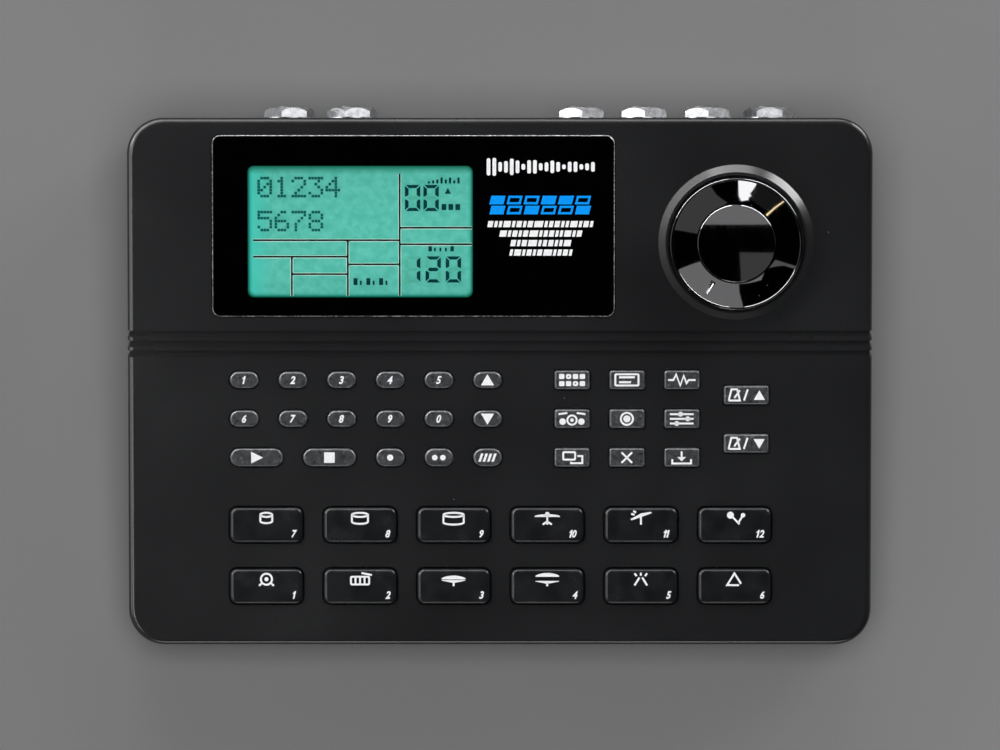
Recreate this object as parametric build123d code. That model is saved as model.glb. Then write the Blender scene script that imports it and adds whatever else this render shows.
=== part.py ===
from build123d import *
import os
from collections import namedtuple
from math import atan2, cos, degrees, pi, sin, sqrt, tan

# A desktop drum machine: a two-part plastic case in the shape of a wedge, with a sloping panel.
#
# Millimetres. X runs to the right, Y to the rear and Z up. The origin lies on the ground, under
# the middle of the machine's bounding box. What belongs to the panel is drawn in panel
# coordinates: u to the right and v up the slope, both from the panel's middle, and w out of it.

os.makedirs("parts", exist_ok=True)

# Lengths ending in _across are shares of half the panel's width, and those ending in _along
# are shares of half its length along the slope. Those of the rear panel are shares of its half.

# Case, measured from its underside, which stands on the feet
case_width = 238.0
case_depth = 168.5
front_height = 25.0
rear_height = 45.0
corner_radius = 11.5
panel_edge_radius = 1.8
base_edge_radius = 1.5
side_wall = 3.0
panel_thickness = 3.0
floor_thickness = 2.5
parting_height = 12.0
parting_chamfer = 0.3
lip_height = 2.0
lip_thickness = 1.2
lip_gap = 0.15
side_gap = 0.3

# Three grooves across the panel and down the sides
groove_count = 3
groove_width = 2.1
groove_pitch = 3.2
groove_depth = 0.9
groove_middle_along = 0.1438

# Feet
foot_diameter = 14.0
foot_height = 2.5
foot_inset = 22.0
foot_chamfer = 0.6

# Two groups of vent slots in the floor
vent_count = 6
vent_length = 26.0
vent_width = 2.4
vent_pitch = 5.2
vent_group_across = 0.378

# Screws, all alike, and what they hold
screw_diameter = 3.0
screw_length = 8.0
screw_head_diameter = 5.6
screw_head_height = 2.0
screw_head_rounding = 0.7
screw_drive_size = 2.4
screw_drive_width = 0.6
screw_drive_depth = 1.1
thread_gap = 0.05
head_gap = 0.4
screw_end_gap = 0.4
post_radius = 4.5
post_inset = 11.0
post_web = 2.0
boss_radius = 3.2

# Display window and display, with the display's place from the window's middle
window_width = 129.2
window_height = 58.9
window_radius = 3.0
window_across = -0.2319
window_along = 0.5905
window_recess = 1.6
window_proud = 0.2
window_gap = 0.35
window_chamfer = 0.4
display_offset_u = -17.0
display_offset_v = -1.9
display_view_width = 72.3
display_view_height = 42.7
display_aperture_margin = 1.5
display_glass_margin = 4.0
display_glass_thickness = 2.2
display_frame_margin = 2.0

# Volume knob in its collar
knob_across = 0.6345
knob_along = 0.5292
collar_bore_radius = 22.1
collar_land = 0.6
collar_slope = 2.2
collar_height = 2.0
well_depth = 1.0
knob_gap = 0.7
knob_taper = 0.3
knob_rim_height = 5.8
knob_lip_width = 0.8
knob_lip_drop = 0.25
dish_height = 4.0
disc_radius = 12.4
disc_groove = 0.5
disc_rise = 0.3
disc_dome = 0.35
knob_floor_gap = 0.4
knob_skirt_wall = 2.0
knob_hub_wall = 2.0
knob_crown = 2.2
pointer_start = 1.3
pointer_length = 4.6
pointer_width = 1.6
pointer_depth = 1.0
pointer_angle = 239.0
shaft_radius = 3.0
shaft_gap = 0.05
shaft_end_gap = 0.2
hub_hole_gap = 0.6

# Volume potentiometer
pot_radius = 10.0
pot_top_gap = 0.3
pot_floor = 1.0

# Keys and pads: each is a cap, a flange under the panel and a plunger over the board
button_gap = 0.55
flange_margin = 1.0
flange_thickness = 0.8
plunger_inset = 1.0
least_radius = 0.3
stop_gap = 0.1
key_proud = 1.0
key_travel = 1.2
key_rounding = 0.7
pad_proud = 1.8
pad_travel = 1.0
pad_rounding = 1.1
mat_thickness = 1.0
mat_gap = 0.4
mat_margin = 2.0

# Rows and columns of keys
key_rows = 3
key_top_row_along = 0.00825
key_row_pitch_along = 0.14734
number_first_across = -0.6874
number_pitch_across = 0.13084
number_width = 10.2
number_height = 6.3
long_key_height = 6.8
function_first_across = 0.1941
function_pitch_across = 0.1475
function_width = 12.3
function_height = 7.05
function_radius = 1.35
tempo_step_across = 0.1731
tempo_width = 15.4
tempo_middle_along = -0.1414
tempo_pitch_along = 0.1839

# Pads
pad_rows = 2
pads_per_row = 6
pad_middle_across = 0.0017
pad_pitch_across = 0.2521
pad_lower_along = -0.7768
pad_pitch_along = 0.2334
pad_width = 24.35
pad_height = 12.35
pad_radius = 2.8

# Boards
key_room = 6.5
board_thickness = 1.6
board_end_gap = 3.0
board_side_gap = 2.0
board_post_gap = 1.0
board_screw_inset = 9.0
board_screw_end_inset = 24.0
board_rear_screw_u = 22.0
main_board_height = 11.0
main_board_depth = 66.0
main_board_rear_gap = 0.5
main_front_screw_inset = 5.0
main_rear_screw_inset = 34.0

# Rear panel
rear_panel_head = 2.0
rear_flange_reach = 2.0
rear_flange_thickness = 1.2
rear_hole_gap = 0.25

# Quarter-inch jacks
jack_bore_radius = 3.25
jack_bore_length = 30.5
jack_thread_radius = 4.75
jack_body_width = 15.6
jack_body_height = 13.0
jack_body_length = 24.0
jack_pitch_across = 0.192
control_jacks_across = -0.548
output_jacks_across = 0.5352
control_jack_count = 2
output_jack_count = 4
nut_turns = (14.0, 15.0, -27.0, -28.0, -26.0, 0.0)
nut_across_flats = 14.3
nut_thickness = 3.2
nut_chamfer = 1.35
washer_radius = 8.7
washer_thickness = 0.8
thread_beyond_nut = 0.3
nut_gap = 0.05

# Five-pin sockets
din_middle_across = -0.1022
din_pitch_across = 0.2519
din_count = 2
din_ring_radius = 8.0
din_bore_radius = 7.0
din_core_radius = 5.8
din_core_recess = 0.6
din_bore_depth = 9.0
din_pin_count = 5
din_pin_circle = 3.75
din_pin_radius = 0.75
din_pin_depth = 7.0
din_pin_spread = 45.0
din_body_width = 19.5
din_body_height = 18.0
din_body_length = 12.0

# Power inlet and switch
inlet_across = -0.9335
inlet_barrel_radius = 4.3
inlet_bore_radius = 2.85
inlet_bore_depth = 9.5
inlet_pin_radius = 1.0
inlet_pin_recess = 0.8
inlet_body_width = 10.0
inlet_body_height = 11.0
inlet_body_length = 13.0
switch_across = -0.8137
switch_travel = 4.0
switch_body_gap = 0.8
switch_body_height = 8.0
switch_body_length = 7.0
switch_cavity_depth = 3.0
lever_base_width = 5.4
lever_base_height = 4.6
lever_stem_width = 3.4
lever_stem_height = 3.0
lever_recess = 0.5
lever_gap = 0.2

# Ribbon cable between the boards, with a plug at each end
ribbon_x = -20.0
ribbon_width = 24.0
ribbon_thickness = 0.9
ribbon_reach = 14.0
ribbon_bend = 4.5
plug_width = 27.0
plug_depth = 5.0
plug_height = 5.0
plug_inset = 7.0

# Parts on the main board, with their places from its front edge
chip_row = 25.0
chip_height = 4.0
chip_depth = 14.0
chips = ((-66.0, 52.0), (-4.0, 36.0), (44.0, 36.0))
capacitor_row = 9.0
capacitor_xs = (-74.0, -58.0)
capacitor_radius = 5.0
capacitor_height = 12.0
cell_x = 79.0
cell_radius = 10.0
cell_height = 3.2

# How far joined solids enter each other and bores run out of them, and how level an edge is
overlap = 1.0
level_tolerance = 0.01

# ---- Worked out from the sizes above ----

rear_reach = washer_thickness + nut_thickness + thread_beyond_nut
front_y = -(case_depth + rear_reach) / 2
rear_y = front_y + case_depth
middle_y = (front_y + rear_y) / 2
wedge = atan2(rear_height - front_height, case_depth)
parting_z = foot_height + parting_height
half_width = case_width / 2
half_length = case_depth / (2 * cos(wedge))

# Longer than the case, for cuts that run past it
far = 2 * case_width

panel_plane = Plane(
    origin=(0, middle_y, foot_height + (front_height + rear_height) / 2),
    x_dir=(1, 0, 0),
    z_dir=(0, -sin(wedge), cos(wedge)),
)

flange_low = -panel_thickness - flange_thickness
board_top = -panel_thickness - key_room
board_low = board_top - board_thickness
board_half_width = case_width / 2 - side_wall - board_side_gap
board_half_length = case_depth / 2 - side_wall - board_end_gap
window_u = window_across * half_width
window_v = window_along * half_length
display_u = window_u + display_offset_u
display_v = window_v + display_offset_v
knob_u = knob_across * half_width
knob_v = knob_along * half_length
collar_top_radius = collar_bore_radius + collar_land
knob_skirt_radius = collar_bore_radius - knob_gap
knob_rim_radius = knob_skirt_radius - knob_taper
knob_hollow_top = dish_height - knob_crown
dish_radius = disc_radius + disc_groove
disc_edge_height = dish_height + disc_rise

key_top_row_v = key_top_row_along * half_length
key_row_pitch = key_row_pitch_along * half_length
number_first_u = number_first_across * half_width
number_pitch = number_pitch_across * half_width
long_key_width = number_width + number_pitch / 2
function_first_u = function_first_across * half_width
function_pitch = function_pitch_across * half_width
tempo_u = function_first_u + 2 * function_pitch + tempo_step_across * half_width
tempo_middle_v = tempo_middle_along * half_length
tempo_pitch = tempo_pitch_along * half_length
pad_middle_u = pad_middle_across * half_width
pad_pitch_u = pad_pitch_across * half_width
pad_lower_v = pad_lower_along * half_length
pad_pitch_v = pad_pitch_along * half_length

main_board_z = foot_height + main_board_height
jack_seat_y = rear_y - side_wall - rear_flange_thickness
main_board_rear_y = jack_seat_y - main_board_rear_gap
main_board_front_y = main_board_rear_y - main_board_depth
jack_z = main_board_z + jack_body_height / 2
din_z = main_board_z + din_body_height / 2
inlet_z = main_board_z + inlet_body_height / 2
switch_z = main_board_z + switch_body_height / 2
rear_panel_half = case_width / 2 - corner_radius - rear_flange_reach - side_gap
rear_panel_low = foot_height + floor_thickness + rear_flange_reach + side_gap
rear_panel_high = main_board_z + din_body_height + rear_panel_head
jack_pitch = jack_pitch_across * rear_panel_half
din_pitch = din_pitch_across * rear_panel_half
inlet_x = inlet_across * rear_panel_half
switch_x = switch_across * rear_panel_half
switch_cavity_width = lever_base_width + switch_travel + 2 * lever_gap
switch_cavity_height = lever_base_height + 2 * lever_gap
switch_body_width = switch_cavity_width + 2 * switch_body_gap

FROM_BELOW = (Align.CENTER, Align.CENTER, Align.MIN)
FROM_ABOVE = (Align.CENTER, Align.CENTER, Align.MAX)

Button = namedtuple("Button", "name u v width height radius proud travel rounding")


# ---- Helpers ----

def save(name, *solids):
    """Writes one node. Several solids of one node stay separate."""
    shape = solids[0] if len(solids) == 1 else Compound(children=list(solids))
    export_step(shape, f"parts/{name}.step")


def on_panel(shape):
    """Carries a shape from panel coordinates to its place on the slope."""
    return panel_plane.location * shape


def block(x_range, y_range, z_range):
    """A box between two places on each axis."""
    size = [high - low for low, high in (x_range, y_range, z_range)]
    corner = Pos(x_range[0], y_range[0], z_range[0])
    return corner * Box(*size, align=(Align.MIN, Align.MIN, Align.MIN))


def rearward(radius, start_y, end_y, x, z):
    """A round bar along Y."""
    bar = Cylinder(radius, end_y - start_y, align=FROM_BELOW)
    return Pos(x, start_y, z) * Rot(-90, 0, 0) * bar


def floor_plan(inset):
    """The case's rounded outline, inset from its walls."""
    return RectangleRounded(
        case_width - 2 * inset, case_depth - 2 * inset, corner_radius - inset
    )


def prism(inset, low_z, high_z):
    """An upright block of the case's outline."""
    return Pos(0, middle_y, low_z) * extrude(floor_plan(inset), high_z - low_z)


def above_panel(depth):
    """Everything above a plane that lies a depth below the panel."""
    return on_panel(Pos(0, 0, -depth) * Box(far, far, far, align=FROM_BELOW))


def wedge_block(inset, low_z, depth):
    """The case's wedge, inset from its walls, from a height up to a depth below the panel."""
    return prism(inset, low_z, far) - above_panel(depth)


def flat_edges(shape, z):
    """The edges that lie in a level plane."""
    return shape.edges().filter_by_position(Axis.Z, z - level_tolerance, z + level_tolerance)


# ---- Buttons ----

def number_key(name, column, row):
    """One of the small keys with round ends, by its column and row."""
    u = number_first_u + column * number_pitch
    v = key_top_row_v - row * key_row_pitch
    height = number_height if row < key_rows - 1 else long_key_height
    return Button(
        name, u, v, number_width, height, None, key_proud, key_travel, key_rounding
    )


def long_key(name, u):
    """A long key with round ends, in the lowest row."""
    v = key_top_row_v - (key_rows - 1) * key_row_pitch
    return Button(
        name, u, v, long_key_width, long_key_height, None, key_proud, key_travel, key_rounding
    )


def square_key(name, u, v, width):
    """A key with square ends."""
    return Button(
        name, u, v, width, function_height, function_radius, key_proud, key_travel, key_rounding
    )


def keypad():
    """The left block of keys. The long keys line up with the outer ends of the keys above."""
    names = [f"number_key_{number}" for number in (1, 2, 3, 4, 5, 6, 7, 8, 9, 0)]
    top = names[:5] + ["up_key"]
    middle = names[5:] + ["down_key"]
    keys = [number_key(name, column, 0) for column, name in enumerate(top)]
    keys += [number_key(name, column, 1) for column, name in enumerate(middle)]
    overhang = (long_key_width - number_width) / 2
    keys.append(long_key("play_key", number_first_u + overhang))
    keys.append(long_key("stop_key", number_first_u + 2 * number_pitch - overhang))
    last = ("a_key", "b_key", "fill_key")
    keys += [number_key(name, column + 3, key_rows - 1) for column, name in enumerate(last)]
    return keys


def function_keys():
    """The right block: three rows of three, and the two tempo keys beside them."""
    names = (
        ("pattern_key", "preset_key", "perform_key"),
        ("drum_set_key", "record_key", "setup_key"),
        ("copy_key", "erase_key", "backup_key"),
    )
    keys = []
    for row, row_names in enumerate(names):
        v = key_top_row_v - row * key_row_pitch
        for column, name in enumerate(row_names):
            u = function_first_u + column * function_pitch
            keys.append(square_key(name, u, v, function_width))
    for name, side in (("tempo_up_key", 0.5), ("tempo_down_key", -0.5)):
        v = tempo_middle_v + side * tempo_pitch
        keys.append(square_key(name, tempo_u, v, tempo_width))
    return keys


def drum_pads():
    """Two rows of six pads, numbered from the lower left."""
    pads = []
    for row in range(pad_rows):
        for column in range(pads_per_row):
            pads.append(
                Button(
                    f"drum_pad_{row * pads_per_row + column + 1}",
                    pad_middle_u + (column - (pads_per_row - 1) / 2) * pad_pitch_u,
                    pad_lower_v + row * pad_pitch_v,
                    pad_width,
                    pad_height,
                    pad_radius,
                    pad_proud,
                    pad_travel,
                    pad_rounding,
                )
            )
    return pads


keys = keypad() + function_keys()
pads = drum_pads()
buttons = keys + pads


def button_slab(button, margin, low, high):
    """The outline of a button's hole, grown by a margin, as a block between two levels."""
    width = button.width + 2 * margin
    height = button.height + 2 * margin
    if button.radius is None:
        outline = SlotOverall(width, height)
    else:
        outline = RectangleRounded(width, height, max(button.radius + margin, least_radius))
    return Pos(button.u, button.v, low) * extrude(outline, high - low)


def button_piece(button):
    """A cap with rounded edges, the flange that holds it under the panel, and its plunger."""
    cap = button_slab(button, -button_gap, flange_low, button.proud)
    top = cap.faces().sort_by(Axis.Z)[-1]
    cap = fillet(top.edges(), button.rounding)
    flange = button_slab(button, flange_margin, flange_low, -panel_thickness)
    plunger_low = board_top + button.travel + stop_gap
    plunger = button_slab(button, -button_gap - plunger_inset, plunger_low, flange_low)
    return on_panel(cap + flange + plunger)


def mat_reach(block_of_buttons):
    """The sides of the mat under a block of buttons: left, right, front and rear."""
    left = min(b.u - b.width / 2 for b in block_of_buttons) - mat_margin
    right = max(b.u + b.width / 2 for b in block_of_buttons) + mat_margin
    front = min(b.v - b.height / 2 for b in block_of_buttons) - mat_margin
    rear = max(b.v + b.height / 2 for b in block_of_buttons) + mat_margin
    return left, right, front, rear


def mat_piece(block_of_buttons):
    """A silicone sheet on the board, with a ring under each flange that stops its travel."""
    left, right, front, rear = mat_reach(block_of_buttons)
    sheet_top = board_top + mat_thickness
    mat = block((left, right), (front, rear), (board_top, sheet_top))
    mat += [
        button_slab(b, flange_margin, sheet_top, flange_low - b.travel - stop_gap)
        for b in block_of_buttons
    ]
    mat -= [
        button_slab(b, mat_gap - button_gap - plunger_inset, board_low, 0)
        for b in block_of_buttons
    ]
    return on_panel(mat)


# ---- Screws and where they go ----

def screw():
    """A pan head screw, pointing down, with the underside of its head at the origin."""
    head = Cylinder(screw_head_diameter / 2, screw_head_height, align=FROM_BELOW)
    head = fillet(flat_edges(head, screw_head_height), screw_head_rounding)
    shank = Cylinder(screw_diameter / 2, screw_length, align=FROM_ABOVE)
    drive = Box(screw_drive_size, screw_drive_width, screw_drive_depth, align=FROM_ABOVE)
    drive += Rot(0, 0, 90) * drive
    return head + shank - Pos(0, 0, screw_head_height) * drive


def case_posts():
    """The middles of the six posts that join the halves of the case."""
    x = case_width / 2 - post_inset
    ys = (front_y + post_inset, middle_y, rear_y - post_inset)
    return [(side * x, y) for y in ys for side in (-1, 1)]


def panel_bosses():
    """The places, in panel coordinates, of the bosses that carry the panel board.

    Four stand near its corners, one between the two mats and one between display and knob.
    """
    u = board_half_width - board_screw_inset
    v = board_half_length - board_screw_end_inset
    places = [(side * u, end * v) for end in (-1, 1) for side in (-1, 1)]
    between_mats = (mat_reach(pads)[3] + mat_reach(keys)[2]) / 2
    return places + [(pad_middle_u, between_mats), (board_rear_screw_u, v)]


def main_posts():
    """The places of the posts that carry the main board."""
    x = board_half_width - board_screw_inset
    ys = (
        main_board_front_y + main_front_screw_inset,
        main_board_rear_y - main_rear_screw_inset,
    )
    return [(side * x, y) for y in ys for side in (-1, 1)]


def trimmed(board):
    """A board cut back from the case's rounded corners and from the posts of the case."""
    bar = Cylinder(post_radius + board_post_gap, far)
    board &= prism(side_wall + board_side_gap, 0, far)
    return board - [Pos(x, y, 0) * bar for x, y in case_posts()]


def screw_hole(depth):
    """The hole that a screw's thread bites in, from the origin up."""
    return Cylinder(screw_diameter / 2 + thread_gap, depth, align=FROM_BELOW)


def screws():
    """All the screws in their places."""
    below = Rot(180, 0, 0) * screw()
    placed = [Pos(x, y, parting_z - post_web) * below for x, y in case_posts()]
    placed += [on_panel(Pos(u, v, board_low) * below) for u, v in panel_bosses()]
    placed += [Pos(x, y, main_board_z) * screw() for x, y in main_posts()]
    return placed


# ---- Case ----

def rear_window(margin):
    """The opening in the rear walls, grown by a margin, as a block through them."""
    half = rear_panel_half + margin
    z_range = (rear_panel_low - margin, rear_panel_high + margin)
    return block((-half, half), (rear_y - side_wall, rear_y + side_wall), z_range)


def vents():
    """Two groups of slots through the floor."""
    slot = extrude(SlotOverall(vent_length, vent_width, rotation=90), far, both=True)
    group_x = vent_group_across * half_width
    return [
        Pos(side * group_x + (i - (vent_count - 1) / 2) * vent_pitch, middle_y, 0) * slot
        for side in (-1, 1)
        for i in range(vent_count)
    ]


def grooves():
    """Bars across the panel that also run down both sides, less the core that stays."""
    top = wedge_block(groove_depth, foot_height, groove_depth)
    first = groove_middle_along * half_length - (groove_count - 1) / 2 * groove_pitch
    cut = [
        on_panel(Pos(0, first + i * groove_pitch, 0) * Box(far, groove_width, far))
        for i in range(groove_count)
    ]
    level = parting_z + lip_height + side_wall
    return [bar - top - block((-far, far), (-far, far), (-far, level)) for bar in cut]


def collar():
    """The raised ring around the knob, with its bore."""
    base_radius = collar_top_radius + collar_slope
    cone = Cone(base_radius, collar_top_radius, collar_height, align=FROM_BELOW)
    cone += Cylinder(base_radius, panel_thickness / 2, align=FROM_ABOVE)
    return on_panel(Pos(knob_u, knob_v, 0) * cone)


def knob_well():
    """What the knob's seat takes out of the panel: the bore and the shaft's hole."""
    bore = Cylinder(collar_bore_radius, far, align=FROM_BELOW)
    hole = Cylinder(shaft_radius + hub_hole_gap, far)
    return on_panel(Pos(knob_u, knob_v, -well_depth) * (bore + hole))


def window_seat():
    """The recess of the display window and the opening over the display."""
    recess = extrude(
        RectangleRounded(window_width, window_height, window_radius), far
    )
    opening = Box(
        display_view_width + 2 * display_aperture_margin,
        display_view_height + 2 * display_aperture_margin,
        far,
    )
    return on_panel(
        Pos(window_u, window_v, -window_recess) * recess
        + Pos(display_u, display_v, 0) * opening
    )


def top_case():
    """The upper half: panel, walls, collar, posts and bosses."""
    shell = wedge_block(0, parting_z, 0)
    panel = shell.faces().sort_by(Axis.Z)[-1]
    shell = fillet(panel.edges(), panel_edge_radius)
    shell = chamfer(flat_edges(shell, parting_z), parting_chamfer)
    shell -= wedge_block(side_wall, parting_z, panel_thickness)
    shell -= prism(side_wall - lip_thickness - lip_gap, parting_z, parting_z + lip_height + lip_gap)
    shell += collar()
    inside = wedge_block(side_wall, parting_z, panel_thickness / 2)
    posts = [
        Pos(x, y, parting_z) * Cylinder(post_radius, far, align=FROM_BELOW) for x, y in case_posts()
    ]
    shell += [post & inside for post in posts]
    boss_height = key_room + panel_thickness / 2
    boss = Cylinder(boss_radius, boss_height, align=FROM_BELOW)
    shell += [on_panel(Pos(u, v, board_top) * boss) for u, v in panel_bosses()]
    cuts = [on_panel(button_slab(b, 0, -far / 2, far / 2)) for b in buttons]
    cuts += [window_seat(), knob_well(), rear_window(0)]
    cuts += grooves()
    case_hole = screw_hole(screw_length - post_web + screw_end_gap)
    cuts += [Pos(x, y, parting_z) * case_hole for x, y in case_posts()]
    board_hole = screw_hole(screw_length - board_thickness + screw_end_gap)
    cuts += [on_panel(Pos(u, v, board_top) * board_hole) for u, v in panel_bosses()]
    return shell - cuts


def bottom_case():
    """The lower half: a tray with a lip that enters the upper half, and its posts."""
    floor_z = foot_height + floor_thickness
    tray = prism(0, foot_height, parting_z)
    tray = fillet(flat_edges(tray, foot_height), base_edge_radius)
    tray = chamfer(flat_edges(tray, parting_z), parting_chamfer)
    tray += prism(side_wall - lip_thickness, parting_z - lip_height, parting_z + lip_height)
    tray -= prism(side_wall, floor_z, far)
    post_height = parting_height - floor_thickness / 2
    post = Cylinder(post_radius, post_height, align=FROM_ABOVE)
    tray += [Pos(x, y, parting_z) * post for x, y in case_posts()]
    stand_height = main_board_height - board_thickness - floor_thickness / 2
    stand = Cylinder(boss_radius, stand_height, align=FROM_ABOVE)
    stand_z = main_board_z - board_thickness
    tray += [Pos(x, y, stand_z) * stand for x, y in main_posts()]
    well = Cylinder(screw_head_diameter / 2 + head_gap, parting_height, align=FROM_ABOVE)
    cuts = [Pos(x, y, parting_z - post_web) * well for x, y in case_posts()]
    through = Cylinder(screw_diameter / 2 + head_gap / 2, 3 * post_web)
    cuts += [Pos(x, y, parting_z) * through for x, y in case_posts()]
    hole = Rot(180, 0, 0) * screw_hole(screw_length - board_thickness + screw_end_gap)
    cuts += [Pos(x, y, stand_z) * hole for x, y in main_posts()]
    return tray - cuts - rear_window(0) - vents()


def foot_places():
    """The middles of the four feet."""
    x = case_width / 2 - foot_inset
    return [(side * x, y) for y in (front_y + foot_inset, rear_y - foot_inset) for side in (-1, 1)]


def rubber_feet():
    """Four round feet, glued to the underside."""
    foot = Cylinder(foot_diameter / 2, foot_height, align=FROM_BELOW)
    foot = chamfer(flat_edges(foot, 0), foot_chamfer)
    return [Pos(x, y, 0) * foot for x, y in foot_places()]


# ---- Display, knob and what is behind the panel ----

def display_window():
    """The glossy plate in the panel's recess, with a bevelled edge."""
    plate = extrude(
        RectangleRounded(
            window_width - 2 * window_gap,
            window_height - 2 * window_gap,
            window_radius - window_gap,
        ),
        window_recess + window_proud,
    )
    top = plate.faces().sort_by(Axis.Z)[-1]
    plate = chamfer(top.edges(), window_chamfer)
    return on_panel(Pos(window_u, window_v, -window_recess) * plate)


def display_module():
    """The display's glass, held against the panel by the light box under it."""
    width = display_view_width + 2 * display_glass_margin
    height = display_view_height + 2 * display_glass_margin
    glass = Box(width, height, display_glass_thickness, align=FROM_ABOVE)
    glass_place = Pos(display_u, display_v, -panel_thickness)
    box_height = key_room - display_glass_thickness
    light_box = Box(
        width + 2 * display_frame_margin,
        height + 2 * display_frame_margin,
        box_height,
        align=FROM_BELOW,
    )
    return [
        on_panel(glass_place * glass),
        on_panel(Pos(display_u, display_v, board_top) * light_box),
    ]


def knob_profile():
    """The knob's section: radius against height, from the hub's end round to the disc."""
    low = -well_depth + knob_floor_gap
    lip_inner = knob_rim_radius - knob_lip_width
    hollow_radius = knob_skirt_radius - knob_skirt_wall
    hub_radius = shaft_radius + shaft_gap + knob_hub_wall
    top = disc_edge_height + disc_dome
    outline = Polyline(
        (0, top),
        (0, low),
        (hub_radius, low),
        (hub_radius, knob_hollow_top),
        (hollow_radius, knob_hollow_top),
        (hollow_radius, low),
        (knob_skirt_radius, low),
        (knob_rim_radius, knob_rim_height - knob_lip_drop),
    )
    lip_top = (knob_rim_radius - knob_lip_width / 2, knob_rim_height)
    lip_end = (lip_inner, knob_rim_height - knob_lip_drop)
    outline += ThreePointArc(outline @ 1, lip_top, lip_end)
    outline += Line(lip_end, (dish_radius, dish_height))
    outline += Line((dish_radius, dish_height), (disc_radius, dish_height))
    outline += Line((disc_radius, dish_height), (disc_radius, disc_edge_height))
    dome_radius = (disc_radius**2 + disc_dome**2) / (2 * disc_dome)
    halfway = disc_radius / 2
    dome_middle = (halfway, top - dome_radius + sqrt(dome_radius**2 - halfway**2))
    outline += ThreePointArc((disc_radius, disc_edge_height), dome_middle, (0, top))
    return outline


def volume_knob():
    """The dished knob with its pointer, and the shaft that it is pressed on."""
    section = Plane.XZ * make_face(knob_profile())
    knob = revolve(section, Axis.Z)
    shaft_top = knob_hollow_top + shaft_end_gap
    bore = Cylinder(shaft_radius + shaft_gap, far, align=FROM_ABOVE)
    knob -= Pos(0, 0, shaft_top + shaft_end_gap) * bore
    slope = (knob_rim_height - knob_lip_drop - dish_height) / (
        knob_rim_radius - knob_lip_width - dish_radius
    )
    inner_radius = dish_radius + pointer_start
    outer_radius = inner_radius + pointer_length
    inner_top = dish_height + slope * pointer_start
    outer_top = inner_top + slope * pointer_length
    scoop = Polyline(
        (inner_radius, outer_top + pointer_depth),
        (inner_radius, inner_top - pointer_depth),
        (outer_radius, outer_top),
        (outer_radius, outer_top + pointer_depth),
        close=True,
    )
    notch = extrude(Plane.XZ * make_face(scoop), pointer_width / 2, both=True)
    knob -= Rot(0, 0, pointer_angle) * notch
    shaft_low = board_top + pot_floor + shaft_end_gap
    shaft = Cylinder(shaft_radius, shaft_top - shaft_low, align=FROM_BELOW)
    place = Pos(knob_u, knob_v, 0)
    return [
        on_panel(place * knob),
        on_panel(place * Pos(0, 0, shaft_low) * shaft),
    ]


def volume_pot():
    """The potentiometer's can on the panel board, with the bearing that its shaft turns in."""
    can = Cylinder(pot_radius, key_room - pot_top_gap, align=FROM_BELOW)
    bearing = Cylinder(shaft_radius + shaft_gap, key_room, align=FROM_BELOW)
    can -= Pos(0, 0, pot_floor) * bearing
    return on_panel(Pos(knob_u, knob_v, board_top) * can)


def panel_board():
    """The board under the panel, with its screw holes."""
    board = Box(2 * board_half_width, 2 * board_half_length, board_thickness, align=FROM_ABOVE)
    hole = Cylinder(screw_diameter / 2 + head_gap / 2, far)
    board -= [Pos(u, v, 0) * hole for u, v in panel_bosses()]
    return trimmed(on_panel(Pos(0, 0, board_top) * board))


# ---- Main board and rear panel ----

def main_board():
    """The board on the bottom half's posts, with its screw holes."""
    board = block(
        (-board_half_width, board_half_width),
        (main_board_front_y, main_board_rear_y),
        (main_board_z - board_thickness, main_board_z),
    )
    hole = Cylinder(screw_diameter / 2 + head_gap / 2, far)
    return trimmed(board - [Pos(x, y, main_board_z) * hole for x, y in main_posts()])


def board_components():
    """Chips, two capacitors and a backup cell on the main board."""
    row_y = main_board_front_y + chip_row
    chip_z = (main_board_z, main_board_z + chip_height)
    solids = [
        block((x - width / 2, x + width / 2), (row_y - chip_depth / 2, row_y + chip_depth / 2), chip_z)
        for x, width in chips
    ]
    can = Cylinder(capacitor_radius, capacitor_height, align=FROM_BELOW)
    can_y = main_board_front_y + capacitor_row
    solids += [Pos(x, can_y, main_board_z) * can for x in capacitor_xs]
    cell = Cylinder(cell_radius, cell_height, align=FROM_BELOW)
    return solids + [Pos(cell_x, row_y, main_board_z) * cell]


def ribbon_cable():
    """A flat cable folded in a C from a plug on the main board to one under the panel board."""
    plug_y = main_board_front_y + plug_inset
    half = plug_width / 2
    lower = block(
        (ribbon_x - half, ribbon_x + half),
        (plug_y, plug_y + plug_depth),
        (main_board_z, main_board_z + plug_height),
    )
    plug_v = (plug_y - middle_y) / cos(wedge) + board_low * tan(wedge)
    upper = block(
        (ribbon_x - half, ribbon_x + half),
        (plug_v, plug_v + plug_depth),
        (board_low - plug_height, board_low),
    )
    start = Vector(ribbon_x, plug_y, main_board_z + plug_height / 2)
    end = panel_plane.from_local_coords(Vector(ribbon_x, plug_v, board_low - plug_height / 2))
    run = Vector(0, ribbon_reach, 0)
    slope_run = panel_plane.y_dir * ribbon_reach
    path = FilletPolyline(start, start - run, end - slope_run, end, radius=ribbon_bend)
    section = Plane(start, x_dir=(1, 0, 0), z_dir=(0, -1, 0)) * Rectangle(
        ribbon_width, ribbon_thickness
    )
    return [lower, on_panel(upper), sweep(section, path)]


def jack_xs():
    """The six jacks' places along the rear panel, from the left."""
    groups = (
        (control_jacks_across, control_jack_count),
        (output_jacks_across, output_jack_count),
    )
    return [
        middle * rear_panel_half + (i - (count - 1) / 2) * jack_pitch
        for middle, count in groups
        for i in range(count)
    ]


def din_xs():
    """The places of the five-pin sockets."""
    middle = din_middle_across * rear_panel_half
    return [middle + (i - (din_count - 1) / 2) * din_pitch for i in range(din_count)]


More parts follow.
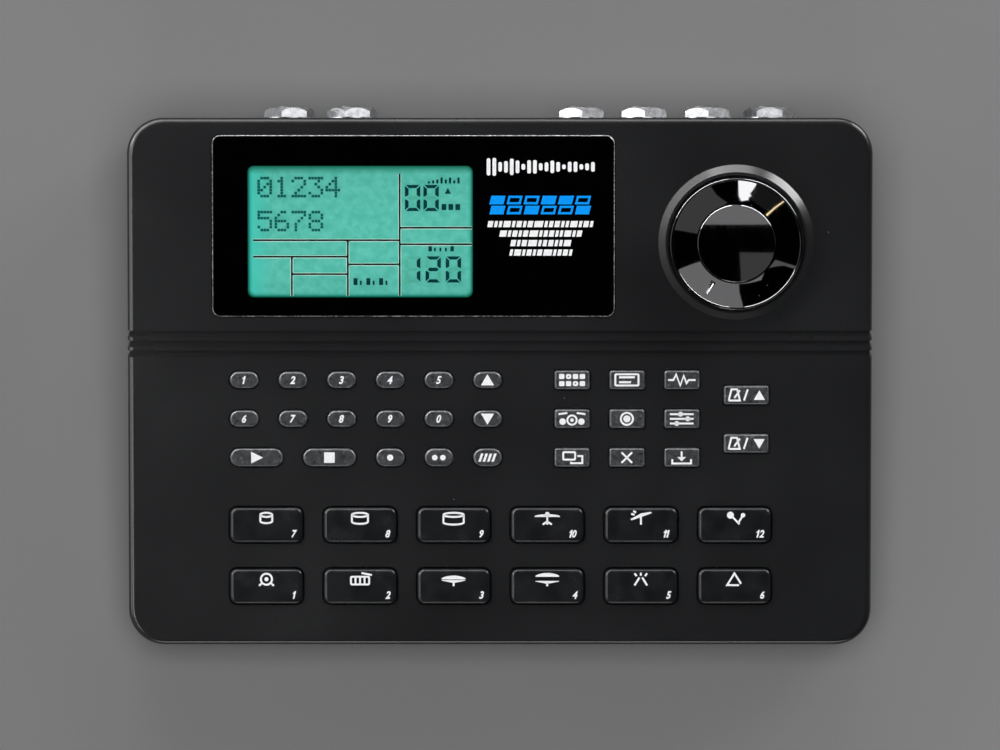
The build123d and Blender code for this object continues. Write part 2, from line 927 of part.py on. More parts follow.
def rear_panel():
    """The plate in the rear opening, with a flange behind the walls and holes for the sockets."""
    outside = rear_y + side_wall
    plate = rear_window(-side_gap) - block((-far, far), (rear_y, outside), (-far, far))
    flange = Pos(0, -rear_flange_thickness, 0) * rear_window(rear_flange_reach)
    flange -= block((-far, far), (rear_y - side_wall, outside), (-far, far))
    jack_hole = jack_thread_radius + rear_hole_gap
    inside = jack_seat_y - side_wall
    holes = [rearward(jack_hole, inside, outside, x, jack_z) for x in jack_xs()]
    din_hole = din_ring_radius + rear_hole_gap
    holes += [rearward(din_hole, inside, outside, x, din_z) for x in din_xs()]
    holes.append(
        rearward(inlet_barrel_radius + rear_hole_gap, inside, outside, inlet_x, inlet_z)
    )
    slot_half = (lever_stem_width + switch_travel) / 2 + lever_gap
    slot_rise = lever_stem_height / 2 + lever_gap
    holes.append(
        block(
            (switch_x - slot_half, switch_x + slot_half),
            (inside, outside),
            (switch_z - slot_rise, switch_z + slot_rise),
        )
    )
    return plate + flange - holes


def audio_jack(x):
    """A jack: a body on the board and a threaded bushing through the rear panel."""
    body = block(
        (x - jack_body_width / 2, x + jack_body_width / 2),
        (jack_seat_y - jack_body_length, jack_seat_y),
        (main_board_z, main_board_z + jack_body_height),
    )
    tip_y = rear_y + rear_reach
    bushing = rearward(jack_thread_radius, jack_seat_y - overlap, tip_y, x, jack_z)
    bore = rearward(jack_bore_radius, tip_y - jack_bore_length, tip_y + overlap, x, jack_z)
    return body + bushing - bore


def jack_hardware():
    """A washer and a hexagon nut on each bushing. Each nut stands at its own angle.

    The cone that cuts a nut's corners back leaves an arch on each of its flats.
    """
    hole_radius = jack_thread_radius + nut_gap
    washer = Cylinder(washer_radius, washer_thickness, align=FROM_BELOW)
    washer -= Cylinder(hole_radius, far)
    hexagon = RegularPolygon(nut_across_flats / 2, 6, major_radius=False)
    nut = extrude(hexagon, nut_thickness)
    corner = nut_across_flats / (2 * cos(pi / 6))
    dressed = Cylinder(corner, nut_thickness, align=FROM_BELOW)
    dressed = chamfer(flat_edges(dressed, nut_thickness), nut_chamfer)
    nut = (nut & dressed) - Cylinder(hole_radius, far)
    solids = []
    for x, turn in zip(jack_xs(), nut_turns):
        facing = Pos(x, rear_y, jack_z) * Rot(-90, 0, 0)
        solids.append(facing * washer)
        solids.append(facing * Pos(0, 0, washer_thickness) * Rot(0, 0, turn) * nut)
    return solids


def din_socket(x):
    """A five-pin socket: a body with a deep ring, and in the ring a core with pin holes."""
    body = block(
        (x - din_body_width / 2, x + din_body_width / 2),
        (jack_seat_y - din_body_length, jack_seat_y),
        (main_board_z, main_board_z + din_body_height),
    )
    bore_end = rear_y - din_bore_depth
    core_end = rear_y - din_core_recess
    socket = body + rearward(din_ring_radius, jack_seat_y - overlap, rear_y, x, din_z)
    socket -= rearward(din_bore_radius, bore_end, rear_y + overlap, x, din_z)
    core = rearward(din_core_radius, bore_end, core_end, x, din_z)
    pins = []
    for i in range(din_pin_count):
        angle = pi / 2 + (i - (din_pin_count - 1) / 2) * din_pin_spread * pi / 180
        pin_x = x + din_pin_circle * cos(angle)
        pin_z = din_z + din_pin_circle * sin(angle)
        pins.append(rearward(din_pin_radius, core_end - din_pin_depth, rear_y, pin_x, pin_z))
    return [socket, core - pins]


def power_inlet():
    """The inlet for a round plug: a barrel through the rear panel around its centre pin."""
    body = block(
        (inlet_x - inlet_body_width / 2, inlet_x + inlet_body_width / 2),
        (jack_seat_y - inlet_body_length, jack_seat_y),
        (main_board_z, main_board_z + inlet_body_height),
    )
    inlet = body + rearward(inlet_barrel_radius, jack_seat_y - overlap, rear_y, inlet_x, inlet_z)
    bore_end = rear_y - inlet_bore_depth
    inlet -= rearward(inlet_bore_radius, bore_end, rear_y + overlap, inlet_x, inlet_z)
    pin_end = rear_y - inlet_pin_recess
    return inlet + rearward(inlet_pin_radius, bore_end - overlap, pin_end, inlet_x, inlet_z)


def switch_housing():
    """The power switch's box behind the rear panel, open towards it."""
    body = block(
        (switch_x - switch_body_width / 2, switch_x + switch_body_width / 2),
        (jack_seat_y - switch_body_length, jack_seat_y),
        (main_board_z, main_board_z + switch_body_height),
    )
    cavity = block(
        (switch_x - switch_cavity_width / 2, switch_x + switch_cavity_width / 2),
        (jack_seat_y - switch_cavity_depth, jack_seat_y),
        (switch_z - switch_cavity_height / 2, switch_z + switch_cavity_height / 2),
    )
    return body - cavity


def switch_lever():
    """The lever at its on end, at the right: a slider in the box and a stem in the slot."""
    x = switch_x + switch_travel / 2
    base_rise = lever_base_height / 2
    base = block(
        (x - lever_base_width / 2, x + lever_base_width / 2),
        (jack_seat_y - switch_cavity_depth + lever_gap, jack_seat_y - lever_gap),
        (switch_z - base_rise, switch_z + base_rise),
    )
    stem = block(
        (x - lever_stem_width / 2, x + lever_stem_width / 2),
        (jack_seat_y - switch_cavity_depth / 2, rear_y - lever_recess),
        (switch_z - lever_stem_height / 2, switch_z + lever_stem_height / 2),
    )
    return base + stem


# ---- Nodes ----

save("top_case", top_case())
save("bottom_case", bottom_case())
save("rear_panel", rear_panel())
save("rubber_feet", *rubber_feet())
save("machine_screws", *screws())
save("display_window", display_window())
save("display_module", *display_module())
save("volume_knob", *volume_knob())
save("volume_pot", volume_pot())
save("panel_board", panel_board())
save("button_mats", mat_piece(keys), mat_piece(pads))
save("main_board", main_board())
save("board_components", *board_components())
save("ribbon_cable", *ribbon_cable())
save("audio_jacks", *[audio_jack(x) for x in jack_xs()])
save("jack_hardware", *jack_hardware())
save("din_sockets", *[solid for x in din_xs() for solid in din_socket(x)])
save("power_inlet", power_inlet())
save("switch_housing", switch_housing())
save("switch_lever", switch_lever())
for button in buttons:
    save(button.name, button_piece(button))

print("panel slope in degrees", round(degrees(wedge), 3))
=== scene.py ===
# %% [markdown]
# # A desktop drum machine
# The machine is a black plastic wedge: a lit display under a glossy window, a big dished volume
# knob, rows of small keys, twelve playing pads and six jack sockets at the rear. Its solid parts
# come from the CAD frame. This script gives them their finishes and adds what is too fine for
# the CAD source: the polished knob, the printing, the display's picture and the socket linings.

import math

import bmesh
import bpy
import numpy as np
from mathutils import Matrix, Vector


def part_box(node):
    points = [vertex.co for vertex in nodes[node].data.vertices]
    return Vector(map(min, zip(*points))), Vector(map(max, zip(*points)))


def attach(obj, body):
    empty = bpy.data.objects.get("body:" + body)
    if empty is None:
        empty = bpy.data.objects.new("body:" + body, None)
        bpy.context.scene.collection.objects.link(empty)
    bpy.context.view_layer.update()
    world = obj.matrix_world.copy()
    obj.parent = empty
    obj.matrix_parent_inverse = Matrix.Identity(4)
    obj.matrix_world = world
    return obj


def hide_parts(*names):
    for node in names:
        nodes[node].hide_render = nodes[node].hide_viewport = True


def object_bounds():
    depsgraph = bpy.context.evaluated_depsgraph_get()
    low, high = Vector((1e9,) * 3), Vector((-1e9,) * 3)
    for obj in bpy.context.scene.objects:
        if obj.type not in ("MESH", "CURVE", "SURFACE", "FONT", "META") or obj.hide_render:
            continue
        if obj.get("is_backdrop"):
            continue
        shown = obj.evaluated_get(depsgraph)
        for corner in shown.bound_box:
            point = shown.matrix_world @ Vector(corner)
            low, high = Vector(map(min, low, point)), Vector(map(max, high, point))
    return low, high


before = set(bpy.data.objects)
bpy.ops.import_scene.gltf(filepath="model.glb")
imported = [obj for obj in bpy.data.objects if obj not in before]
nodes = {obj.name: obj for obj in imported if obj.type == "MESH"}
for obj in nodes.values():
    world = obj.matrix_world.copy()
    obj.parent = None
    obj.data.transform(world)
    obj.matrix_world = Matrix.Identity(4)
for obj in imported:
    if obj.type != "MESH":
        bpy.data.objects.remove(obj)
cad_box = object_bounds()
print("CAD box, metres:", [tuple(round(x, 4) for x in corner) for corner in cad_box])

# %% [markdown]
# ## Measuring on a sloping panel
# Everything on top of the machine lies on one slope, so it is easiest to draw it flat. A place
# is u to the right, v up the slope and w out of the panel, in millimetres, and one function takes
# a shape from there to metres in the frame. Back from a CAD part's vertices, the same axes tell
# where a key's top is, so that no place is typed twice.

# %% Panel coordinates
MM = 0.001
SLOPE = math.atan2(20.0, 168.5)
PANEL_MIDDLE = MM * np.array([0.0, -2.15, 37.5])
PANEL_AXES = np.array([
    [1.0, 0.0, 0.0],
    [0.0, math.cos(SLOPE), math.sin(SLOPE)],
    [0.0, -math.sin(SLOPE), math.cos(SLOPE)],
])
print("panel slope, degrees:", round(math.degrees(SLOPE), 2))


def on_panel(shape):
    """A shape's points in metres: the panel's middle, plus u, v and w times its three axes."""
    points, loops, sizes = shape
    return PANEL_MIDDLE + MM * points @ PANEL_AXES, loops, sizes


def panel_box(name):
    """The least and greatest u, v and w of a CAD part, from its vertices."""
    mesh = nodes[name].data
    places = np.empty(3 * len(mesh.vertices))
    mesh.vertices.foreach_get("co", places)
    local = (places.reshape(-1, 3) - PANEL_MIDDLE) @ PANEL_AXES.T / MM
    return local.min(0), local.max(0)

# %% [markdown]
# ## Surfaces from arrays
# Each added shape is a grid of points: rows along one direction, columns along the other. It is
# kept as three arrays, the way Blender keeps a mesh: the points, the corners of all faces one
# after another, and the number of corners of each face. Shapes are easily joined in this form.

# %% From a grid to a shape
def skin(grid, around=(False, True), caps=True):
    """Four-sided faces between neighbours of an (n, m, 3) grid. Around tells which of its two
    directions comes round on itself; caps fill the first and the last row."""
    rows, columns = grid.shape[:2]
    index = np.arange(rows * columns).reshape(rows, columns)
    wrapped = np.pad(index, [(0, int(closed)) for closed in around], mode="wrap")
    loops = np.stack(
        [wrapped[:-1, :-1], wrapped[:-1, 1:], wrapped[1:, 1:], wrapped[1:, :-1]], -1
    ).reshape(-1)
    sizes = np.full(len(loops) // 4, 4)
    if caps:
        loops = np.concatenate([loops, index[0, ::-1], index[-1]])
        sizes = np.append(sizes, [columns, columns])
    return grid.reshape(-1, 3), loops, sizes


def joined(shapes):
    """Several shapes as one: each one's corners count on from the points before it."""
    starts = np.cumsum([0] + [len(points) for points, _, _ in shapes[:-1]])
    return (
        np.concatenate([points for points, _, _ in shapes]),
        np.concatenate([loops + start for start, (_, loops, _) in zip(starts, shapes)]),
        np.concatenate([sizes for _, _, sizes in shapes]),
    )


def moved(shape, u, v):
    """A shape, moved in the panel."""
    points, loops, sizes = shape
    return points + (u, v, 0), loops, sizes

# %% From a shape to a piece
SHARP = math.radians(32)


def placed(name, data):
    """A new object in the scene, of some data."""
    made = bpy.data.objects.new(name, data)
    bpy.context.scene.collection.objects.link(made)
    return made


def piece(name, shape, material, body="case", smooth=False):
    """A shape in metres as one named mesh object that rides on a body: points that coincide are
    merged, which closes poles, and then the faces are turned outwards."""
    points, loops, sizes = shape
    mesh = bpy.data.meshes.new(name)
    mesh.vertices.add(len(points))
    mesh.vertices.foreach_set("co", points.ravel())
    mesh.loops.add(len(loops))
    mesh.loops.foreach_set("vertex_index", loops.astype(np.int32))
    mesh.polygons.add(len(sizes))
    mesh.polygons.foreach_set("loop_start", (np.cumsum(sizes) - sizes).astype(np.int32))
    mesh.update(calc_edges=True)
    shell = bmesh.new()
    shell.from_mesh(mesh)
    bmesh.ops.remove_doubles(shell, verts=shell.verts, dist=0.0005 * MM)
    bmesh.ops.recalc_face_normals(shell, faces=shell.faces)
    shell.to_mesh(mesh)
    shell.free()
    mesh.polygons.foreach_set("use_smooth", [smooth] * len(mesh.polygons))
    if smooth:
        mesh.set_sharp_from_angle(angle=SHARP)
    mesh.materials.append(material)
    made = placed(name, mesh)
    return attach(made, body)

# %% [markdown]
# ## Camera
# The machine is seen from straight above through a long lens three metres up, so its front edge,
# 20 mm lower than the rear one, looks hardly smaller. The Standard view shows every colour as it
# is written.

# %% Camera over the machine
CAMERA_HEIGHT = 3.0
FIELD_WIDTH = 0.3199
camera = placed("camera", bpy.data.cameras.new("camera"))
camera.location = (0.00006, 0.00004, CAMERA_HEIGHT)
camera.data.sensor_width = 36.0
camera.data.lens = 36.0 * (CAMERA_HEIGHT - PANEL_MIDDLE[2]) / FIELD_WIDTH
camera.data.clip_end = 50.0
print("lens, millimetres:", round(camera.data.lens, 1))
bpy.context.scene.camera = camera
bpy.context.scene.view_settings.view_transform = "Standard"

# %% [markdown]
# ## Nodes and colours
# A material is a small graph of nodes. One helper adds a node and joins it to the others, so
# that a material reads as a list of what goes into what. Colours are sRGB hex codes, as on a
# paint chart, turned into linear light on their way into a socket.

# %% One node at a time
def add(tree, kind, sockets=(), **settings):
    """Adds one node with its settings. Sockets are given by name or number, or as a list in the
    node's own order, which for MapRange is the value and the two ends of each range. Each gets a
    value, a hex colour, or a link: from an output, or from the first one that a node has in use."""
    node = tree.nodes.new("ShaderNode" + kind)
    for name, value in settings.items():
        setattr(node, name, value)
    for name, value in sockets.items() if isinstance(sockets, dict) else enumerate(sockets):
        if isinstance(value, bpy.types.Node):
            value = next(output for output in value.outputs if output.enabled)
        if isinstance(value, bpy.types.NodeSocket):
            tree.links.new(value, node.inputs[name])
        else:
            node.inputs[name].default_value = linear(value) if isinstance(value, str) else value
    return node


def linear(code):
    """A sRGB hex colour as linear red, green, blue and alpha."""
    shares = np.array([int(code[i:i + 2], 16) for i in (1, 3, 5)]) / 255
    low, high = shares / 12.92, ((shares + 0.055) / 1.055) ** 2.4
    return (*np.where(shares <= 0.04045, low, high).tolist(), 1.0)


def finish(name):
    """A new material without nodes, its node tree, and its Object coordinates."""
    made = bpy.data.materials.new(name)
    made.use_nodes = True
    made.node_tree.nodes.clear()
    return made, made.node_tree, add(made.node_tree, "TexCoord").outputs["Object"]

# %% [markdown]
# ## Studio
# Black plastic shows mostly what it reflects, so the light is made of things to reflect. The
# room is dark overhead, where the flat panel looks, and paler low down, where the rounded edges
# look, most of all to the left and behind. Soft boxes add the bright lines on the edges. One
# more hangs overhead for ink, paper and other matte surfaces. It is hidden from gloss, because
# its sheen would turn the black panel grey.

# %% Room
world = bpy.data.worlds.new("studio")
bpy.context.scene.world = world
world.use_nodes = True
room = world.node_tree
room.nodes.clear()
way = add(room, "TexCoord").outputs["Generated"]
height = add(room, "SeparateXYZ", [way]).outputs["Z"]
walls = add(room, "MapRange", [height, 0.5, 0.64, 1.0, 0.0], interpolation_type="SMOOTHSTEP")
toward = add(room, "VectorMath", [way, (-0.8, 0.6, 0.0)], operation="DOT_PRODUCT")
side = add(room, "MapRange", [toward, -0.7, 0.9, 0.1])
strength = add(room, "Math", [walls, side], operation="MULTIPLY")
sky = add(room, "Background", ["#f6f7f9", strength])
add(room, "OutputWorld", {"Surface": sky})

# %% Soft boxes
def soft_box(name, azimuth, tilt, distance, size, radiance, glossy=True, matte=True, only=None):
    """A rectangular lamp facing the machine, in the direction azimuth degrees round from +X and
    tilt degrees away from straight up. Its power is its radiance times its area times pi. Gloss
    or matte surfaces can be kept from seeing it, and only one collection can be lit."""
    round_z, lean = math.radians(azimuth), math.radians(tilt)
    lamp = bpy.data.lights.new(name, "AREA")
    lamp.shape = "RECTANGLE"
    lamp.size, lamp.size_y = size
    lamp.energy = radiance * size[0] * size[1] * math.pi
    made = placed(name, lamp)
    made.location = distance * np.array([
        math.sin(lean) * math.cos(round_z), math.sin(lean) * math.sin(round_z), math.cos(lean),
    ])
    made.rotation_euler = lean, 0.0, round_z + math.pi / 2
    made.visible_camera = False
    made.visible_glossy, made.visible_diffuse = glossy, matte
    made.light_linking.receiver_collection = only
    print(name, "at", [round(x, 2) for x in made.location], "power", round(lamp.energy, 1))


soft_box("box_rear_left", 130, 56, 3.6, (1.3, 0.9), 14.0, matte=False)
soft_box("box_rear", 92, 70, 3.6, (2.4, 0.6), 9.0)
soft_box("box_rear_right", 42, 79, 3.6, (2.0, 0.7), 19.0)
soft_box("box_left", 180, 60, 2.0, (1.3, 0.9), 2.5, matte=False)
soft_box("box_front", 270, 72, 3.6, (2.0, 0.7), 7.0)
soft_box("box_overhead", 0, 0, 4.0, (2.4, 2.4), 5.6, glossy=False)

# Three more boxes light the satin surfaces alone. Two wide ones draw the white glints round the
# rear corners of the case, the keys and the pads. The strip to the left stands just outside the
# panel's mirror direction: the blurred foot of its reflection falls off to the right.
satin = bpy.data.collections.new("satin")
soft_box("box_glint_left", 136, 53, 3.6, (3.4, 1.2), 62.0, matte=False, only=satin)
soft_box("box_glint_right", 45, 58, 3.6, (2.6, 0.8), 42.0, matte=False, only=satin)
soft_box("box_sheen", 202, 32, 1.53, (1.0, 0.35), 6.0, matte=False, only=satin)

# %% [markdown]
# The polished knob is a curved mirror: its dish and its nearly flat disc each show another part
# of what hangs over the machine. Reflector cards hang there, a metre and a half up, as flat
# outlines in metres. Light linking keeps them for the polished pieces, which are put in a
# collection as they get their finish: satin plastic would blur them into a grey veil.

# %% Reflector cards
CARD_LEVEL = 1.5
polished, mirrors = (bpy.data.collections.new(name) for name in ("polished", "mirrors"))
CARDS = {
    "card_overhead": (1.75, [
        (-0.12, -0.193), (0.32, -0.193), (0.431, -0.128), (0.924, 0.052), (1.15, 0.13),
        (1.15, 0.8), (-0.01, 0.8), (0.035, 0.504), (0.081, 0.249), (0.092, 0.064), (-0.12, 0.064),
    ]),
    "card_front_right": (0.55, [
        (0.38, -0.36), (1.2, -0.58), (1.2, -1.35), (0.58, -1.35), (0.552, -1.289),
        (0.39, -0.975), (0.208, -0.706), (0.25, -0.6),
    ]),
    "card_bright": (13.0, [
        (0.108, -1.503), (0.1, -1.156), (0.095, -0.869), (0.071, -0.727), (-0.008, -0.782),
        (-0.02, -0.86), (-0.06, -0.9), (-0.05, -0.98), (-0.091, -1.062), (-0.195, -1.33),
        (-0.173, -1.521),
    ]),
    "card_front": (0.55, [(0.128, -0.329), (0.33, -0.334), (0.33, -0.52), (0.139, -0.50)]),
    "card_left": (1.0, [
        (-0.233, -0.138), (-0.456, -0.064), (-0.711, 0.009), (-0.689, 0.048), (-0.438, -0.034),
        (-0.162, -0.073),
    ]),
    "card_right": (0.9, [(2.6, -0.6), (4.6, -0.6), (4.6, 0.9), (2.6, 0.9)]),
    "card_lip_left": (75.0, [
        (-0.12, 1.4), (-0.3, 3.4), (-1.75, 3.0), (-3.3, 0.9), (-1.35, 0.4), (-1.0, 1.0),
    ]),
    "card_lip_right": (65.0, [
        (0.3, 1.4), (0.7, 3.4), (2.5, 2.5), (3.4, 1.0), (1.5, 0.5), (1.1, 1.1),
    ]),
    "card_strip": (14.0, [
        (-0.63, -1.016), (-0.378, -0.772), (-0.162, -0.551), (-0.15, -0.563), (-0.366, -0.788),
        (-0.618, -1.03),
    ]),
    "card_dim": (0.1, [
        (-0.11, -1.062), (-0.215, -1.33), (-0.6, -1.04), (-0.19, -0.61), (-0.04, -0.8),
    ]),
}
CARD_TINTS = {"card_strip": "#ffe3b4"}
for name, (radiance, corners) in CARDS.items():
    points = np.column_stack([corners, np.full(len(corners), CARD_LEVEL)])
    mesh = bpy.data.meshes.new(name)
    mesh.from_pydata(points.tolist(), [], [list(range(len(points)))])
    glow, tree, place = finish(name)
    emitter = add(tree, "Emission", [CARD_TINTS.get(name, "#f5f5f8"), radiance])
    add(tree, "OutputMaterial", [emitter])
    mesh.materials.append(glow)
    card = placed(name, mesh)
    card.visible_camera = card.visible_shadow = card.visible_diffuse = False
    card.visible_transmission = False
    card.light_linking.receiver_collection = mirrors if "lip" in name else polished
    card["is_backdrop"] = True
print("reflector cards:", len(CARDS))

# %% [markdown]
# The machine stands on pale grey paper, slightly cloudy, and so wide that its end is never seen.
# From below it lets the eye through, so that the machine's underside can be seen.

# %% Floor
FLOOR_REACH = 15.0
floor_mesh = bpy.data.meshes.new("floor")
floor_corners = FLOOR_REACH * np.array([(-1, -1, 0), (1, -1, 0), (1, 1, 0), (-1, 1, 0)])
floor_mesh.from_pydata(floor_corners.tolist(), [], [[0, 1, 2, 3]])
floor = placed("floor", floor_mesh)
paper, tree, place = finish("paper_pale_grey")
cloud = add(tree, "TexNoise", {"Vector": place, "Scale": 1 / (60 * MM), "Detail": 3.0})
shade = add(tree, "Mix", {0: cloud, 6: "#7e7e7e", 7: "#818181"}, data_type="RGBA")
matte = add(tree, "BsdfDiffuse", {"Color": shade})
below = add(tree, "NewGeometry").outputs["Backfacing"]
sheet = add(tree, "MixShader", [below, matte, add(tree, "BsdfTransparent")])
add(tree, "OutputMaterial", [sheet])
floor_mesh.materials.append(paper)
floor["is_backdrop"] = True

# %% [markdown]
# ## One recipe for most surfaces
# What the eye reads in a moulded, plated or printed surface is less its colour than how broad
# its reflections are and how even. So one recipe serves nearly all of them: two near colours in
# patches, gloss that changes with the patches, and a fine grain in relief. Two more functions
# age a colour: one rubs it pale where the surface turns away from the panel, as fingers do to a
# rounded edge, and the other lays dust on it.

# %% Wear and dust
def scuffed(tree, place, colour, pale, on_edges, in_spots):
    """A colour rubbed pale: a share of it on the edges, and a share in spots on the flat."""
    normal = add(tree, "NewGeometry").outputs["Normal"]
    facing = add(tree, "VectorMath", [normal, tuple(PANEL_AXES[2])], operation="DOT_PRODUCT")
    rim = add(tree, "MapRange", [facing, 0.98, 0.86, 0.0, on_edges])
    noise = add(tree, "TexNoise", {"Vector": place, "Scale": 1 / (0.9 * MM), "Detail": 4.0})
    rubbed = add(tree, "MapRange", [noise, 0.35, 0.65, 0.25])
    spot = add(tree, "MapRange", [noise, 0.56, 0.72, 0.0, in_spots])
    share = add(tree, "Math", [rim, rubbed, spot], operation="MULTIPLY_ADD")
    return add(tree, "Mix", {0: share, 6: colour, 7: pale}, data_type="RGBA")


def dusted(tree, place, colour, cell_mm, strength, pale, left_out):
    """A colour with dust: a pale speck round the point of each Voronoi cell, but for the share of
    the cells that is left out."""
    cell = add(tree, "TexVoronoi", {"Vector": place, "Scale": 1 / (cell_mm * MM)})
    speck = add(tree, "MapRange", [cell.outputs["Distance"], 0.02, 0.035, strength, 0.0])
    chance = add(tree, "SeparateXYZ", [cell.outputs["Color"]]).outputs["X"]
    chosen = add(tree, "Math", [chance, left_out], operation="GREATER_THAN")
    dust = add(tree, "Math", [speck, chosen], operation="MULTIPLY")
    return add(tree, "Mix", {0: dust, 6: colour, 7: pale}, data_type="RGBA")

# %% The recipe
MOULDED, CLOUDY = (0.35, 0.65), (0.0, 1.0)


def surface(name, colours, gloss, patch_mm, grain_mm, depth_mm, spread=MOULDED, worn=None,
            dust=None, **sockets):
    """A material from two colours, two roughnesses, and patches and a grain by their sizes in
    millimetres. Spread is the noise's range that carries the first colour to the second. Worn
    and dust are what those functions take, and sockets are further values of the shader."""
    made, tree, place = finish(name)
    patch = add(tree, "TexNoise", {"Vector": place, "Scale": 1 / (patch_mm * MM), "Detail": 3.0})
    share = add(tree, "MapRange", [patch, spread[0], spread[1]])
    colour = add(tree, "Mix", {0: share, 6: colours[0], 7: colours[1]}, data_type="RGBA")
    rough = add(tree, "MapRange", [patch, 0.3, 0.7, gloss[0], gloss[1]])
    grain = add(tree, "TexNoise", {"Vector": place, "Scale": 1 / (grain_mm * MM)})
    relief = add(tree, "Bump", {"Height": grain, "Distance": depth_mm * MM})
    if worn:
        colour = scuffed(tree, place, colour, *worn)
    if dust:
        colour = dusted(tree, place, colour, *dust)
    look = {"Base Color": colour, "Roughness": rough, "Normal": relief}
    look.update({key.replace("_", " "): value for key, value in sockets.items()})
    add(tree, "OutputMaterial", [add(tree, "BsdfPrincipled", look)])
    return made


def dress(material, *names):
    """Gives CAD parts a finish, in their own material slots."""
    for name in names:
        slots = nodes[name].data.materials
        for i in range(len(slots)):
            slots[i] = material

# %% Rubber, nylon and laminate
# Keys of silicone rubber, sprayed dark grey and lacquered: a little shiny, scuffed at the rims.
key_rubber = surface(
    "silicone_lacquered_grey", ("#232427", "#323337"), (0.26, 0.34), 1.6, 0.3, 0.008,
    worn=("#aeb0b3", 0.2, 0.2),
)
# Pads of the same rubber left unlacquered: nearly black and even.
pad_rubber = surface(
    "silicone_satin_black", ("#0f1013", "#131417"), (0.2, 0.28), 5.0, 0.3, 0.006,
    worn=("#8d8f94", 0.0, 0.01), Specular_IOR_Level=0.35,
)
# Bare silicone of the mats under the keys: milky grey and dull.
mat_rubber = surface("silicone_bare_grey", ("#85878b", "#94969a"), (0.56, 0.64), 5.0, 0.5, 0.01)
# Foot rubber is filled with soot: matte black, with a coarse rubbed grain.
foot_rubber = surface("rubber_matte_black", ("#0f0f10", "#1a1a1b"), (0.71, 0.79), 3.0, 0.4, 0.03)
# Nylon filled with glass: duller than the case and slightly mottled.
socket_nylon = surface("nylon_black", ("#0e0e0f", "#171718"), (0.46, 0.54), 2.0, 0.25, 0.01)
# The vinyl of a flat cable.
ribbon_vinyl = surface("vinyl_grey", ("#8d8f94", "#a2a4a8"), (0.46, 0.54), 1.27, 0.6, 0.02)
# Boards of glass cloth and epoxy under green lacquer; the cloth shows as a fine weave.
board_laminate = surface("laminate_green", ("#0d3d22", "#15532f"), (0.31, 0.39), 3.0, 0.9, 0.02)
# Black epoxy of the chips on the board.
chip_epoxy = surface("epoxy_black", ("#17171a", "#202023"), (0.56, 0.64), 2.0, 0.15, 0.01)

pad_names = [f"drum_pad_{i}" for i in range(1, 13)]
key_names = [name for name in nodes if name.endswith("_key") or name.startswith("number_key")]
dress(key_rubber, *key_names)
dress(pad_rubber, *pad_names)
dress(mat_rubber, "button_mats")
dress(foot_rubber, "rubber_feet")
dress(socket_nylon, "din_sockets", "switch_lever")
dress(ribbon_vinyl, "ribbon_cable")
dress(board_laminate, "panel_board", "main_board")
dress(chip_epoxy, "board_components")
cell_low, cell_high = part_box("board_components")
print("components from", [round(x, 3) for x in cell_low], "to", [round(x, 3) for x in cell_high])
print("keys:", len(key_names), "pads:", len(pad_names))

# %% [markdown]
# ## Case
# The case is ABS with a satin grain of a third of a millimetre: smooth enough that a soft box
# draws a bright line along a rounded edge, matte enough that the flat panel stays an even dark
# grey. A little dust lies on it.

# %% Case plastic
case_plastic = surface(
    "abs_satin_black", ("#0f0f11", "#121315"), (0.24, 0.28), 45.0, 0.35, 0.006, spread=CLOUDY,
    dust=(7.0, 0.35, "#9b9da1", 0.75),
)
dress(case_plastic, "top_case", "bottom_case", "rear_panel")
for name in ["top_case", *key_names, *pad_names]:
    satin.objects.link(nodes[name])

# %% [markdown]
# ## Polished knob
# The knob comes out of a polished mould: one profile of radius and height carried round an axis,
# with a skirt, a thin lip, a dish that steepens towards the lip, a fine groove, and a disc that
# bulges by a third of a millimetre. A mirror shows every flat spot, so the dish and the disc are
# formulas and not chains of corners. The pointer is a scoop pressed into the dish: each point of
# the grid inside it goes down by a depth that runs out towards the rim and the sides.

# %% Profile of the knob
KNOB_AT = 75.5055, 44.903
LIP_IN, LIP_OUT, LIP_TOP, ROUND_IN, ROUND_OUT = 20.38, 20.93, 5.8, 0.06, 0.17
DISH_OUT, DISH_TOP, DISH_IN, DISH_LEVEL = 20.3, 5.55, 12.9, 4.0
DISC_TOP, DISC_ROUND = 4.65, 220.0
SCOOP_TURN, SCOOP_FROM, SCOOP_LONG, SCOOP_HALF, SCOOP_DEEP = 239.0, 14.2, 4.6, 0.8, 1.0

under = [(0, 2.2), (3.05, 2.2), (3.05, -0.6), (5.05, -0.6), (5.05, 1.8), (19.4, 1.8), (19.4, -0.6),
         (21.25, -0.6), (21.4, -0.45), (21.12, 5.3), (21.11, 5.55)]
# The lip is flat, with a quarter round on each side that draws a fine bright line.
turn = np.radians(np.linspace(8, 90, 8))[:, None]
corner = np.hstack([np.cos(turn), np.sin(turn)])
lip = np.concatenate([ROUND_OUT * corner + (LIP_OUT, LIP_TOP - ROUND_OUT),
                      ROUND_IN * corner[::-1] * (-1, 1) + (LIP_IN, LIP_TOP - ROUND_IN)])
# The dish's slope grows evenly from 7 degrees inside, so that its height is a parabola.
edges = [
    DISH_IN + 0.02, DISH_IN + 0.08, DISH_OUT - 0.03, DISH_OUT - 0.1, SCOOP_FROM - 0.03, SCOOP_FROM,
]
dish_r = np.unique(np.append(np.linspace(DISH_IN, DISH_OUT - 0.01, 42), edges))[::-1]
slope_in = math.tan(math.radians(7))
dish_width = DISH_OUT - DISH_IN
slope_out = 2 * (DISH_TOP - DISH_LEVEL) / dish_width - slope_in
inward = dish_r - DISH_IN
dish_w = DISH_LEVEL + slope_in * inward + (slope_out - slope_in) * inward ** 2 / (2 * dish_width)
groove = [(12.88, 3.9), (12.42, 3.9), (12.4, 3.95), (12.4, 4.19), (12.37, 4.24), (12.3, 4.29)]
